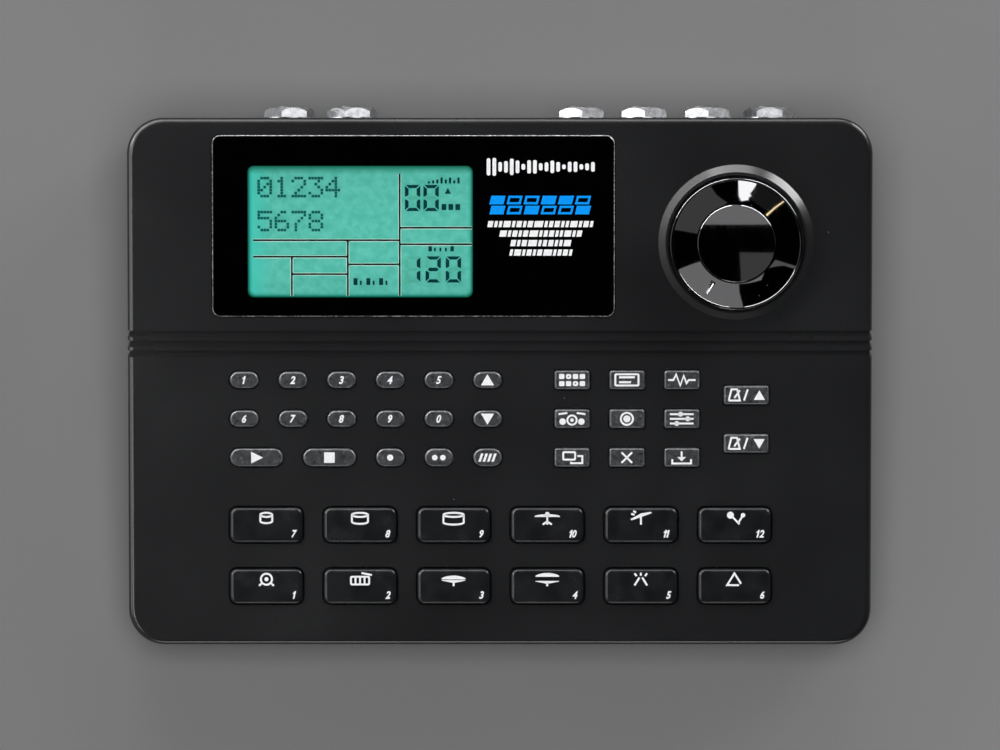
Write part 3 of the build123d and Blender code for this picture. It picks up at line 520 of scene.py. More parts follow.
# The disc is a cap of a large sphere: its height falls by the sphere's sagitta.
disc_r = np.append([12.24, 12.22, 12.16], np.linspace(12.0, 0.0, 18))
disc_w = DISC_TOP - DISC_ROUND + np.sqrt(DISC_ROUND ** 2 - disc_r ** 2)
profile = np.concatenate([
    under, lip, np.column_stack([dish_r, dish_w]), groove, np.column_stack([disc_r, disc_w]),
])
print("knob profile:", len(profile), "points; dish slope outside, degrees:",
      round(math.degrees(math.atan(slope_out)), 1))

# %% Knob surface
def lathe(profile, angles):
    """A profile of radius and height carried round the third axis: for each point of it and each
    angle, radius times cosine, radius times sine, and the height."""
    radius, level = np.asarray(profile, float).T[:, :, None]
    turn = np.radians(angles)
    return np.stack([radius * np.cos(turn), radius * np.sin(turn), level + 0 * turn], -1)


fine = SCOOP_TURN + np.linspace(-4.5, 4.5, 61)
grid = lathe(profile, np.unique(np.concatenate([np.arange(0, 360, 3.0), fine])))
x, y = grid[..., 0], grid[..., 1]
cosine, sine = math.cos(math.radians(SCOOP_TURN)), math.sin(math.radians(SCOOP_TURN))
share = (x * cosine + y * sine - SCOOP_FROM) / SCOOP_LONG
half = SCOOP_HALF * (1 - 0.8 * np.clip(share, 0, 1))
width = np.clip(1 - ((y * cosine - x * sine) / half) ** 2, 0, 1)
inside = (share >= -0.001) & (share < 1) & (grid[..., 2] > 3.9)
grid[..., 2] -= np.where(inside, SCOOP_DEEP * (1 - share) * width ** 0.35, 0)
shaft = [(0, -8.3), (2.8, -8.3), (3.0, -8.1), (3.0, 1.8), (2.8, 2.0), (0, 2.0)]
shaft_grid = lathe(shaft, np.arange(0, 360, 10.0))
knob_shape = moved(joined([skin(grid, caps=False), skin(shaft_grid, caps=False)]), *KNOB_AT)

# %% Polished ABS
# Polished ABS under a hard clear lacquer: a mirror on black. Only its faint wiping marks, long
# and about a millimetre wide, and a few dust specks tell it from wet paint.
knob_gloss, tree, place = finish("abs_polished_black")
stretched = add(tree, "Mapping", {
    "Vector": place, "Rotation": (0, 0, 0.6), "Scale": (1.0, 0.12, 1.0),
})
marks = add(tree, "TexNoise", {"Vector": stretched, "Scale": 1 / (1.2 * MM), "Detail": 3.0})
colour = add(tree, "Mix", {0: marks, 6: "#000000", 7: "#020202"}, data_type="RGBA")
gloss = add(tree, "MapRange", [marks, 0.3, 0.7, 0.03, 0.06])
mirror = add(tree, "BsdfPrincipled", {
    "Base Color": dusted(tree, place, colour, 5.5, 0.4, "#8a8b8e", 0.0), "Roughness": gloss,
    "Coat Weight": 1.0, "Coat IOR": 1.5, "Coat Roughness": 0.02,
})
add(tree, "OutputMaterial", [mirror])
knob = piece(
    "polished_knob", on_panel(knob_shape), knob_gloss, "volume_knob", smooth=True,
)
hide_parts("volume_knob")
polished.objects.link(knob)
mirrors.objects.link(knob)
print("knob faces:", len(knob.data.polygons))

# %% [markdown]
# ## Plated metal
# Nickel covers the jacks' nuts and washers, zinc the screws, and tin the cans inside. Plating
# follows the dents of plain hardware tumbled in a barrel, so the recipe's grain is coarser here.
# A metal's base colour is the tint of its mirror.

# %% Nickel, zinc and tin
METAL = {"spread": CLOUDY, "Metallic": 1.0}
nickel = surface(
    "nickel_plated_brass", ("#e4e5e7", "#b5b6b8"), (0.19, 0.32), 2.0, 0.8, 0.007, **METAL)
zinc = surface("zinc_plated_steel", ("#a9abb0", "#85878c"), (0.3, 0.43), 1.25, 0.5, 0.01, **METAL)
tin = surface("tinned_steel", ("#b8b8b6", "#9a9a98"), (0.35, 0.48), 2.5, 1.0, 0.01, **METAL)
dress(nickel, "jack_hardware")
polished.objects.link(nodes["jack_hardware"])
dress(zinc, "machine_screws")
dress(tin, "volume_pot", "switch_housing")

# %% [markdown]
# Two parts are two materials in one solid: a jack is a metal bushing on a nylon body, and the
# power inlet is nylon round a metal pin. A mask picks the metal, by a distance in millimetres
# from a plane or from an axis, and drives the colour and the Metallic socket of one shader.

# %% Part nylon, part metal
def part_metal(name, centre, across, edge, metal_inside, nylon):
    """Black nylon with metal inside or outside an edge: where the length of (place - centre) *
    across, in millimetres, is under or over it."""
    made, tree, place = finish(name)
    local = add(tree, "VectorMath", [place, tuple(MM * np.array(centre))], operation="SUBTRACT")
    flat = add(tree, "VectorMath", [local, across], operation="MULTIPLY")
    reach = add(tree, "VectorMath", [flat], operation="LENGTH")
    ends = (1.0, 0.0) if metal_inside else (0.0, 1.0)
    metal = add(tree, "MapRange", [reach, (edge - 0.03) * MM, (edge + 0.03) * MM, *ends])
    cloud = add(tree, "TexNoise", {"Vector": place, "Scale": 1 / (1.5 * MM), "Detail": 3.0})
    bright = add(tree, "Mix", {0: cloud, 6: "#a3a09a", 7: "#7c7974"}, data_type="RGBA")
    colour = add(tree, "Mix", {0: metal, 6: nylon, 7: bright}, data_type="RGBA")
    gloss = add(tree, "MapRange", [cloud, 0.3, 0.7, 0.32, 0.5])
    mixed = add(tree, "BsdfPrincipled", {"Base Color": colour, "Metallic": metal, "Roughness": gloss})
    add(tree, "OutputMaterial", [mixed])
    return made


# A bushing is what stands to the rear of the jack's seat: far from a plane in front of it.
BUSHING_FROM = 77.9
dress(part_metal("nylon_with_nickel_bushing", (0, 0, 0), (0, 1, 0), BUSHING_FROM, False, "#101011"),
      "audio_jacks")
PIN_AT, PIN_RADIUS = (-98.2, 0, 19.0), 1.1
dress(part_metal("nylon_with_steel_pin", PIN_AT, (1, 0, 1), PIN_RADIUS, True, "#111112"),
      "power_inlet")

# %% [markdown]
# ## Window
# The window is a plate of clear acrylic, printed black on its back except over the display. Over
# the print it is a black mirror; over the display the light goes through, and Fresnel's formula
# gives the few percent that are reflected on the way in. Faces seen from inside let everything
# pass, because a plate without refraction must not throw light back. The milled edge is frosted
# and painted as a thin pale line: partly the frost's own colour, partly a painted highlight where
# the chamfer catches the light. Both borders are rounded rectangles, so a few vector nodes work out
# how far a point lies outside one, in millimetres on the panel.

# %% Distance from a rounded rectangle
def panel_place(tree, place):
    """Object coordinates turned into panel millimetres, which is on_panel backwards."""
    return add(tree, "Mapping", {
        "Vector": place, "Location": tuple(PANEL_MIDDLE), "Rotation": (SLOPE, 0.0, 0.0),
        "Scale": (MM, MM, MM),
    }, vector_type="TEXTURE")


def rounded_distance(tree, place, centre, half, radius):
    """How far a panel place lies outside a rounded rectangle: the length of what its distance
    from the centre has over the straight sides, less the corner radius."""
    steps = (
        ("SUBTRACT", (*centre, 0.0)), ("MULTIPLY", (1.0, 1.0, 0.0)), ("ABSOLUTE", None),
        ("SUBTRACT", (half[0] - radius, half[1] - radius, 0.0)), ("MAXIMUM", (0.0, 0.0, 0.0)),
    )
    for operation, value in steps:
        sockets = {0: place} if value is None else {0: place, 1: value}
        place = add(tree, "VectorMath", sockets, operation=operation)
    length = add(tree, "VectorMath", [place], operation="LENGTH")
    return add(tree, "Math", [length, radius], operation="SUBTRACT")


glass_low, glass_high = panel_box("display_module")
DISPLAY = (glass_low + glass_high)[:2] / 2
VIEW = np.array([71.9, 42.35])
window_low, window_high = panel_box("display_window")
PLATE_MIDDLE, PLATE_HALF = (window_low + window_high)[:2] / 2, (window_high - window_low)[:2] / 2
FACE = float(window_high[2])
print("display centre:", DISPLAY.round(2), "window face:", round(FACE, 2))

# %% Printed acrylic
window, tree, place = finish("acrylic_printed_black")
flat = panel_place(tree, place)
beyond = rounded_distance(tree, flat, DISPLAY, VIEW / 2, 2.0)
printed = add(tree, "MapRange", [beyond, -0.05, 0.05])
rim = rounded_distance(tree, flat, PLATE_MIDDLE, PLATE_HALF, 2.65)
# The milled band is painted pale: partly frost, partly a painted highlight of the chamfer.
milled_edge_highlight = add(tree, "MapRange", [rim, -0.23, -0.17])
haze = add(tree, "TexNoise", {"Vector": place, "Scale": 1 / (9 * MM), "Detail": 3.0})
chips = add(tree, "TexNoise", {"Vector": place, "Scale": 1 / (0.6 * MM), "Detail": 3.0})
frost = add(tree, "MapRange", [chips, 0.48, 0.56, 0.06])
pale = add(tree, "Mix", {0: frost, 6: "#141415", 7: "#c4c5c6"}, data_type="RGBA")
ink = add(tree, "Mix", {0: haze, 6: "#010101", 7: "#020202"}, data_type="RGBA")
colour = add(tree, "Mix", {0: milled_edge_highlight, 6: ink, 7: pale}, data_type="RGBA")
smooth = add(tree, "MapRange", [haze, 0.3, 0.7, 0.02, 0.04])
gloss = add(tree, "MapRange", [milled_edge_highlight, 0.0, 1.0, smooth, 0.45])
black_look = add(tree, "BsdfPrincipled", {"Base Color": colour, "Roughness": gloss})
through = add(tree, "BsdfTransparent", {"Color": "#fbfdfc"})
shine = add(tree, "BsdfGlossy", {"Color": "#ffffff", "Roughness": smooth})
inside = add(tree, "NewGeometry").outputs["Backfacing"]
entering = add(tree, "Math", [1.0, inside], operation="SUBTRACT")
fresnel = add(tree, "Fresnel", {"IOR": 1.49})
thrown_back = add(tree, "Math", [fresnel, entering], operation="MULTIPLY")
clear_look = add(tree, "MixShader", [thrown_back, through, shine])
window_look = add(tree, "MixShader", [printed, clear_look, black_look])
add(tree, "OutputMaterial", [window_look])
dress(window, "display_window")
polished.objects.link(nodes["display_window"])
mirrors.objects.link(nodes["display_window"])

# %% [markdown]
# ## Display
# A liquid crystal display is a glass with dark segments over a reflector that glows green-blue.
# The glow is even in the middle and bluer at the left, where the light is led in. The frame's
# shade over it is painted into the glow: the rim is painted darker, most of all at the top.

# %% Backlight
glow, tree, place = finish("backlight_green")
flat = panel_place(tree, place)
spot = add(tree, "SeparateXYZ", [flat])
edge = rounded_distance(tree, flat, DISPLAY, VIEW / 2, 2.4)
mottle = add(tree, "TexNoise", {"Vector": flat, "Scale": 0.35, "Detail": 3.0})
uneven = add(tree, "MapRange", [mottle, 0.35, 0.65])
even = add(tree, "Mix", {0: uneven, 6: "#489f91", 7: "#56aa9d"}, data_type="RGBA")
left, top = float(DISPLAY[0] - VIEW[0] / 2), float(DISPLAY[1] + VIEW[1] / 2)
from_left = add(tree, "MapRange", [spot.outputs["X"], left + 0.5, left + 8.0])
led_in = add(tree, "Mix", {0: from_left, 6: "#40b2a6", 7: even}, data_type="RGBA")
# Painted shade: the glow is darkened near the rim and under the top edge, where the frame shades it.
near_edge = add(tree, "MapRange", [edge, -1.5, 0.0])
edge_painted_shade = add(tree, "Mix", {0: near_edge, 6: led_in, 7: "#178573"}, data_type="RGBA")
under_top = add(tree, "MapRange", [spot.outputs["Y"], top - 3.0, top - 0.6])
top_painted_shade = add(tree, "Mix", {0: under_top, 6: edge_painted_shade, 7: "#20705e"}, data_type="RGBA")
rim = add(tree, "MapRange", [edge, -0.8, 0.1])
shaded = add(tree, "Mix", {0: rim, 6: top_painted_shade, 7: "#0a5243"}, data_type="RGBA")
panel_glow = add(tree, "BsdfPrincipled", {
    "Base Color": shaded, "Roughness": 0.5, "Specular IOR Level": 0.1,
    "Emission Color": shaded, "Emission Strength": 0.65,
})
add(tree, "OutputMaterial", [panel_glow])
dress(glow, "display_module")

# %% [markdown]
# ## Flat marks
# Printing and display segments are flat shapes of two kinds: an outline filled in between two
# levels, and a line of some width carried along a path. Both are grids too.

# %% Outlines and lines
def plate(outline, low, high):
    """An outline filled in between two levels: the outline once at each level, and caps."""
    outline = np.asarray(outline, float)
    return skin(np.stack([np.column_stack([outline, np.full(len(outline), w)]) for w in (low, high)]))


def line(path, width, low, high, closed=False):
    """A rectangle carried along a path: half the width to each side along the path's normal,
    over the cosine of half the turn, so that both runs at a corner stay as wide."""
    path = np.asarray(path, float)
    steps = np.roll(path, -1, 0) - path
    before, after = np.roll(steps, 1, 0), steps
    if not closed:
        before, after = np.vstack([steps[:1], steps[:-1]]), np.vstack([steps[:-1], steps[-2:-1]])
    before, after = (run / np.linalg.norm(run, axis=1, keepdims=True) for run in (before, after))
    along = before + after
    along /= np.linalg.norm(along, axis=1, keepdims=True)
    lean = np.clip(np.sum(along * after, axis=1), 0.5, 1.0)
    sideways = np.column_stack([-along[:, 1], along[:, 0]]) * (width / 2 / lean)[:, None]
    corners = [(1, low), (1, high), (-1, high), (-1, low)]
    grid = np.stack([
        np.column_stack([path + side * sideways, np.full(len(path), w)]) for side, w in corners
    ], 1)
    return skin(grid, around=(closed, True), caps=not closed)


def arc(x, y, radius, start=0.0, end=360.0, count=20):
    """Points on a circle between two angles in degrees; a full turn leaves out the last one."""
    turn = np.radians(np.linspace(start, end, count, endpoint=abs(end - start) < 360))
    return np.column_stack([x + radius * np.cos(turn), y + radius * np.sin(turn)])


def rounded(x, y, width, height, radius, count=4):
    """A rectangle's outline with a quarter circle at each corner."""
    quarters = [(1, 1, 0), (-1, 1, 90), (-1, -1, 180), (1, -1, 270)]
    return np.concatenate([
        arc(x + sx * (width / 2 - radius), y + sy * (height / 2 - radius), radius, a, a + 90, count)
        for sx, sy, a in quarters
    ])


def slanted(x, y, width, height, lean=0.2):
    """A block leaning to the right, from its middle: its top moves by lean times its height."""
    shift = lean * height / 2
    return np.array([
        (x - width / 2 - shift, y - height / 2), (x + width / 2 - shift, y - height / 2),
        (x + width / 2 + shift, y + height / 2), (x - width / 2 + shift, y + height / 2),
    ])

# %% [markdown]
# Dark rules divide the display. Under each lies a pale band, a little wider than the rule and set
# a little below it: a painted glint that shows bright along its sides. Places in the
# display are given in millimetres from a middle.

# %% Rules of the display
SEGMENT = -2.58, -2.50
PICTURE = DISPLAY - (0.0, 0.31)
GLINT_SHIFT = np.array([0.0, -0.06])
LEFT, MIDDLE, NARROW, LOWEST = -34.2, -4.0, -21.9, -20.5
WALL, RIGHT = 12.6, 35.7
RULES = [
    [(LEFT, -2.6), (WALL, -2.6)], [(LEFT, -7.9), (MIDDLE, -7.9)], [(MIDDLE, -10.35), (WALL, -10.35)],
    [(NARROW, -13.5), (MIDDLE, -13.5)], [(MIDDLE, -2.6), (MIDDLE, LOWEST)],
    [(NARROW, -7.9), (NARROW, LOWEST)], [(WALL, 18.7), (WALL, LOWEST)],
    [(WALL, 1.4), (RIGHT, 1.4)], [(WALL, -3.9), (RIGHT, -3.9)],
]
CRYSTAL = {"grain_mm": 0.3, "depth_mm": 0.002, "Specular_IOR_Level": 0.1}
ink_rule = surface("crystal_black_green", ("#04100f", "#081614"), (0.46, 0.54), 2.0, **CRYSTAL)
# Painted glint: a pale band under each dark rule.
rule_painted_glint = surface("painted_glint_pale_teal", ("#bcfcec", "#e4fff8"), (0.46, 0.54), 4.0, **CRYSTAL)
dark_rules = [line(PICTURE + np.array(run), 0.52, *SEGMENT) for run in RULES]
glint_bands = [line(PICTURE + GLINT_SHIFT + np.array(run), 1.04, -2.72, -2.62) for run in RULES]
piece("display_rules", on_panel(joined(dark_rules)), ink_rule)
piece("display_rule_painted_glints", on_panel(joined(glint_bands)), rule_painted_glint)

# %% [markdown]
# A number has seven segments, whose ends are cut at an angle, so that neighbours meet along the
# diagonal with a thin gap. Three outlines are mirrored into all seven places. The unlit segments
# still show, hardly darker than the glow.

# %% Seven segments
DIGIT_SIZE = np.array([4.9, 8.4])
SEGMENT_WIDTH, SEGMENT_GAP = 1.15, 0.16
LIT = {0: "abcdef", 1: "bc", 2: "abged"}
NUMBERS = [(0, 14.3, 6.75), (0, 20.2, 6.75), (1, 14.3, -16.2), (2, 20.85, -16.2), (0, 27.3, -16.2)]


def segments(letters, x, y):
    """The segments named, of a digit whose lower left corner is at x, y."""
    (w, h), t, g = DIGIT_SIZE, SEGMENT_WIDTH, SEGMENT_GAP
    m = h / 2
    level = np.array([
        (g + 0.15, h), (t + g, h - t * 0.9), (w - t - g, h - t * 0.9), (w - g - 0.15, h),
    ])
    upright = np.array([
        (0, h - g - 0.15), (0, m + 0.5), (t * 0.4, m + 0.5), (t, m + 1.0), (t, h - t - g),
    ])
    bar = np.array([
        (g + t / 2, m), (t + g, m - t / 2), (w - t - g, m - t / 2),
        (w - g - t / 2, m), (w - t - g, m + t / 2), (t + g, m + t / 2),
    ])
    shapes = {
        "a": level, "f": upright, "g": bar, "d": level * (1, -1) + (0, h),
        "b": upright * (-1, 1) + (w, 0), "e": upright * (1, -1) + (0, h), "c": (w, h) - upright,
    }
    return [plate(PICTURE + (x, y) + shapes[letter], *SEGMENT) for letter in letters]


ink_segment = surface("crystal_dark_teal", ("#003a3e", "#034649"), (0.41, 0.49), 2.0, **CRYSTAL)
ink_ghost = surface("crystal_pale_teal", ("#5cc2ad", "#62c7b2"), (0.41, 0.49), 2.0, **CRYSTAL)
lit = [part for digit, x, y in NUMBERS for part in segments(LIT[digit], x, y)]
unlit = [
    part for digit, x, y in NUMBERS
    for part in segments(sorted(set("abcdefg") - set(LIT[digit])), x, y)
]
piece("display_numbers", on_panel(joined(lit)), ink_segment)
piece("display_unlit_segments", on_panel(joined(unlit)), ink_ghost)
print("segments lit:", len(lit), "unlit:", len(unlit))

# %% [markdown]
# The message field has five by seven square dots to a place. Which dots of a figure are dark is
# written as seven numbers, one for each row from the top, whose binary digits are the row's
# dots. Round it are generic signs: rising bars, beat marks and an arrow.

# %% Dot matrix and signs
DOT_PITCH, DOT_SIZE, PLACE_PITCH = 0.96, 0.84, 5.44
FIGURES = {
    "0": (14, 17, 19, 21, 25, 17, 14), "1": (4, 12, 4, 4, 4, 4, 14), "2": (14, 17, 1, 2, 4, 8, 31),
    "3": (31, 2, 4, 2, 1, 17, 14), "4": (2, 6, 10, 18, 31, 2, 2), "5": (31, 16, 30, 1, 1, 17, 14),
    "6": (6, 8, 16, 30, 17, 17, 14), "7": (31, 1, 2, 4, 8, 8, 8), "8": (14, 17, 17, 14, 17, 17, 14),
}


def dots(text, x, y):
    """A small plate for each dark dot, from the upper left corner of the first figure."""
    rows = np.array([FIGURES[letter] for letter in text])
    dark = (rows[:, :, None] >> np.arange(4, -1, -1)) & 1
    place, row, column = np.nonzero(dark)
    middles = np.column_stack([
        x + place * PLACE_PITCH + (column + 0.5) * DOT_PITCH, y - (row + 0.5) * DOT_PITCH,
    ])
    square = DOT_SIZE / 2 * np.array([(-1, -1), (1, -1), (1, 1), (-1, 1)])
    return [plate(PICTURE + middle + square, *SEGMENT) for middle in middles]


def bars(x, y, widths, heights, pitch):
    """Upright bars side by side, from a lower left corner."""
    return [
        rounded(x + i * pitch + w / 2, y + h / 2, w, h, 0.12, 2)
        for i, (w, h) in enumerate(zip(widths, heights))
    ]


ink_dot = surface("crystal_teal", ("#085f5c", "#106a65"), (0.41, 0.49), 2.0, **CRYSTAL)
message = dots("01234", -32.9, 17.8) + dots("5678", -32.9, 6.9)
piece("display_message", on_panel(joined(message)), ink_dot)
signs = bars(21.6, 15.6, [0.7] * 8, [0.7, 1.0, 1.3, 1.9, 1.3, 1.9, 1.0, 1.9], 1.35)
signs += [np.array([(27.0, 12.3), (29.0, 12.3), (28.0, 14.2)])]
signs += bars(26.0, 7.1, [1.5] * 3, [1.9] * 3, 2.2)
signs += bars(21.8, -6.2, [1.1, 0.6, 0.6, 0.6, 1.1], [1.7, 1.2, 1.2, 1.2, 1.7], 1.75)
signs += bars(-2.2, -17.0, [1.3, 0.6, 1.3, 0.6, 1.3, 0.6], [2.2, 1.4, 2.2, 1.4, 2.2, 1.4], 2.05)
sign_plates = [plate(PICTURE + sign, *SEGMENT) for sign in signs]
piece("display_signs", on_panel(joined(sign_plates)), ink_segment)
print("dots:", len(message), "signs:", len(signs))

# %% [markdown]
# ## Printing
# White and blue ink is screen printed, a thin layer that stands up a few hundredths of a
# millimetre. The figures come from Blender's own typeface, slanted and made heavier. A text
# object would bend its outline twice if it were scaled, so it is made a mesh first. The
# typeface's one is a bare stroke at this weight, so it gets an outline of its own, with a flag.

# %% Ink and figures
INK = np.array([-0.02, 0.03])
ink_white = surface(
    "screen_ink_white", ("#f0f1f2", "#fcfcfd"), (0.56, 0.64), 0.8, 0.2, 0.004, Specular_IOR_Level=0.2)
ink_blue = surface(
    "screen_ink_blue", ("#0094f8", "#069eff"), (0.56, 0.64), 0.8, 0.2, 0.004, Specular_IOR_Level=0.1)
SLANT = 0.28
ONE = [
    (0.0, 0.6), (0.0, 0.76), (0.12, 0.82), (0.2, 1.0), (0.42, 1.0), (0.42, 0.0), (0.18, 0.0),
    (0.18, 0.64),
]


def figure(text):
    """One figure as a shape, one unit tall, slanted: its third axis goes from 0 to 1."""
    if text == "1":
        points, loops, sizes = plate(ONE, 0.0, 1.0)
        return points + SLANT * points[:, 1:2] * (1, 0, 0), loops, sizes
    curve = bpy.data.curves.new("figures", "FONT")
    curve.body, curve.shear, curve.offset = text, SLANT, 0.035
    curve.extrude, curve.resolution_u = 0.5, 3
    holder = bpy.data.objects.new("figures", curve)
    mesh = bpy.data.meshes.new_from_object(holder)
    points = np.array([vertex.co for vertex in mesh.vertices], float)
    loops = np.array([loop.vertex_index for loop in mesh.loops])
    sizes = np.array([face.loop_total for face in mesh.polygons])
    bpy.data.objects.remove(holder)
    bpy.data.curves.remove(curve)
    bpy.data.meshes.remove(mesh)
    lowest, highest = points.min(0), points.max(0)
    tall = highest[1] - lowest[1]
    return (points - lowest) / (tall, tall, highest[2] - lowest[2]), loops, sizes


def figures(text, height, low, high, width=0.85):
    """Figures side by side as a shape: centred, as tall as height in millimetres, between two
    levels. A slanted figure leans over the next one, so the step between them is negative."""
    shapes, reach = [], 0.0
    for points, loops, sizes in map(figure, text):
        points = points + (reach - points[:, 0].min(), 0, 0)
        reach = points[:, 0].max() - 0.12
        shapes.append((points, loops, sizes))
    points, loops, sizes = joined(shapes)
    middle = ((points[:, 0].min() + points[:, 0].max()) / 2, 0.5, 0.0)
    return (points - middle) * (height * width, height, high - low) + (0, 0, low), loops, sizes

# %% [markdown]
# The window carries generic figures of a rhythm: a decaying sound wave, two rows of blue step
# blocks and four rows of slanted beat marks. The wave's bars are as tall as a share plus a
# sine's size, under a falling exponential.

# %% Window printing
wave = np.arange(19)
wave_heights = 6.2 * (0.3 + 0.7 * np.abs(np.sin(wave * 0.9 + 1.0))) * np.exp(-wave / 26.0)
wave_plates = [
    plate(rounded(-3.6 + i * 1.85, 69.1, 1.2, h, 0.45, 3), *(FACE + INK))
    for i, h in enumerate(wave_heights)
]
BEAT_ROWS = [(50.75, -3.8, 29.8, 0), (47.7, 0.0, 26.2, 3), (44.65, 3.5, 22.7, 5), (41.6, 3.2, 23.1, 2)]
BEAT_WIDTHS = np.array([1.5, 0.9, 0.9, 2.1, 0.9, 1.5, 0.9, 1.5, 2.6, 0.9, 1.2])
beat_plates = []
for v, first, last, skip in BEAT_ROWS:
    widths = np.roll(np.tile(BEAT_WIDTHS, 3), -skip)
    ends = np.cumsum(widths + 0.45)
    widths, ends = widths[ends < last - first], ends[ends < last - first]
    stretch = (last - first) / (ends[-1] - 0.45)
    beat_plates += [
        plate(slanted(first + (e - 0.45 - w / 2) * stretch, v, w * stretch, 2.0), *(FACE + INK))
        for w, e in zip(widths, ends)
    ]
piece("window_white_print", on_panel(joined(wave_plates + beat_plates)), ink_white)

FILLED = {(0, 0), (1, 0), (1, 2), (0, 3), (0, 4), (1, 5)}
step_plates = []
for row, column in np.ndindex(2, 6):
    u, v = -0.75 + column * 5.46, 58.45 - row * 3.2
    if (row, column) in FILLED:
        step_plates.append(plate(slanted(u, v, 4.5, 2.75, 0.25), *(FACE + INK)))
    else:
        step_plates.append(line(slanted(u, v, 3.8, 2.05, 0.25), 0.7, *(FACE + INK), closed=True))
piece("window_step_print", on_panel(joined(step_plates)), ink_blue)
print("wave bars:", len(wave_plates), "beat marks:", len(beat_plates), "steps:", len(step_plates))

# %% [markdown]
# Each key and pad carries a sign: a short list of discs, rings, filled outlines and lines, in
# millimetres from its middle. It becomes one mesh that rides on the key and goes down with it.

# %% Parts of signs
def disc(x, y, radius):
    """A filled circle."""
    return "fill", arc(x, y, radius)


def ring(x, y, radius):
    """A circle drawn as a closed line."""
    return "loop", arc(x, y, radius)


def box_line(x, y, width, height):
    """A rectangle drawn as a closed line."""
    return "loop", rounded(x, y, width, height, 0.3, 3)


def stroke(*path):
    """An open line through some points."""
    return "line", path


def both(*path):
    """An open line and its mirror image."""
    return [("line", path), ("line", [(-x, y) for x, y in path])]


def fill(*outline):
    """A filled outline through some points."""
    return "fill", outline


def cymbal(x, y, half, rise):
    """A cymbal from the side: its upper edge bulges as a power of a parabola."""
    across = np.linspace(-1, 1, 13)
    upper = np.column_stack([x + half * across, y + rise * (1 - across ** 2) ** 0.8])
    return "fill", np.vstack([upper, [(x + half, y - 0.3), (x - half, y - 0.3)]])


def cymbal_pair(upper, lower):
    """Two cymbals on a stand: one bulges upwards, the other hangs to a blunt point."""
    rim = lower - 0.15
    hanging = fill((-3.4, lower), (-3.4, rim), (0, lower - 0.85), (3.4, rim), (3.4, lower))
    return [cymbal(0, upper, 3.4, 0.8), hanging, stroke((0, -0.9), (0, -1.9))]


def drum(width, depth):
    """A drum from the side: an ellipse for its head over a bowl."""
    head = arc(0, 0, 1) * (width / 2, 0.6) + (0, 1.0)
    bowl = arc(0, 0, 1, 180, 360, 11) * (width / 2, 0.6) + (0, 1.0 - depth)
    return [("loop", head), ("line", np.vstack([[(-width / 2, 1.0)], bowl, [(width / 2, 1.0)]]))]


def tempo(way):
    """A metronome, a slash and an arrow that points up (1) or down (-1)."""
    arrow = np.array([(-1.8, -1.5), (1.8, -1.5), (0.0, 1.6)]) * (1, way) + (4.2, 0)
    body = stroke((-5.6, -1.7), (-2.0, -1.7), (-2.9, 1.9), (-4.7, 1.9), (-5.6, -1.7))
    return [body, stroke((-3.8, -0.9), (-2.0, 1.6)), stroke((-0.7, -1.7), (0.5, 1.9)), fill(*arrow)]

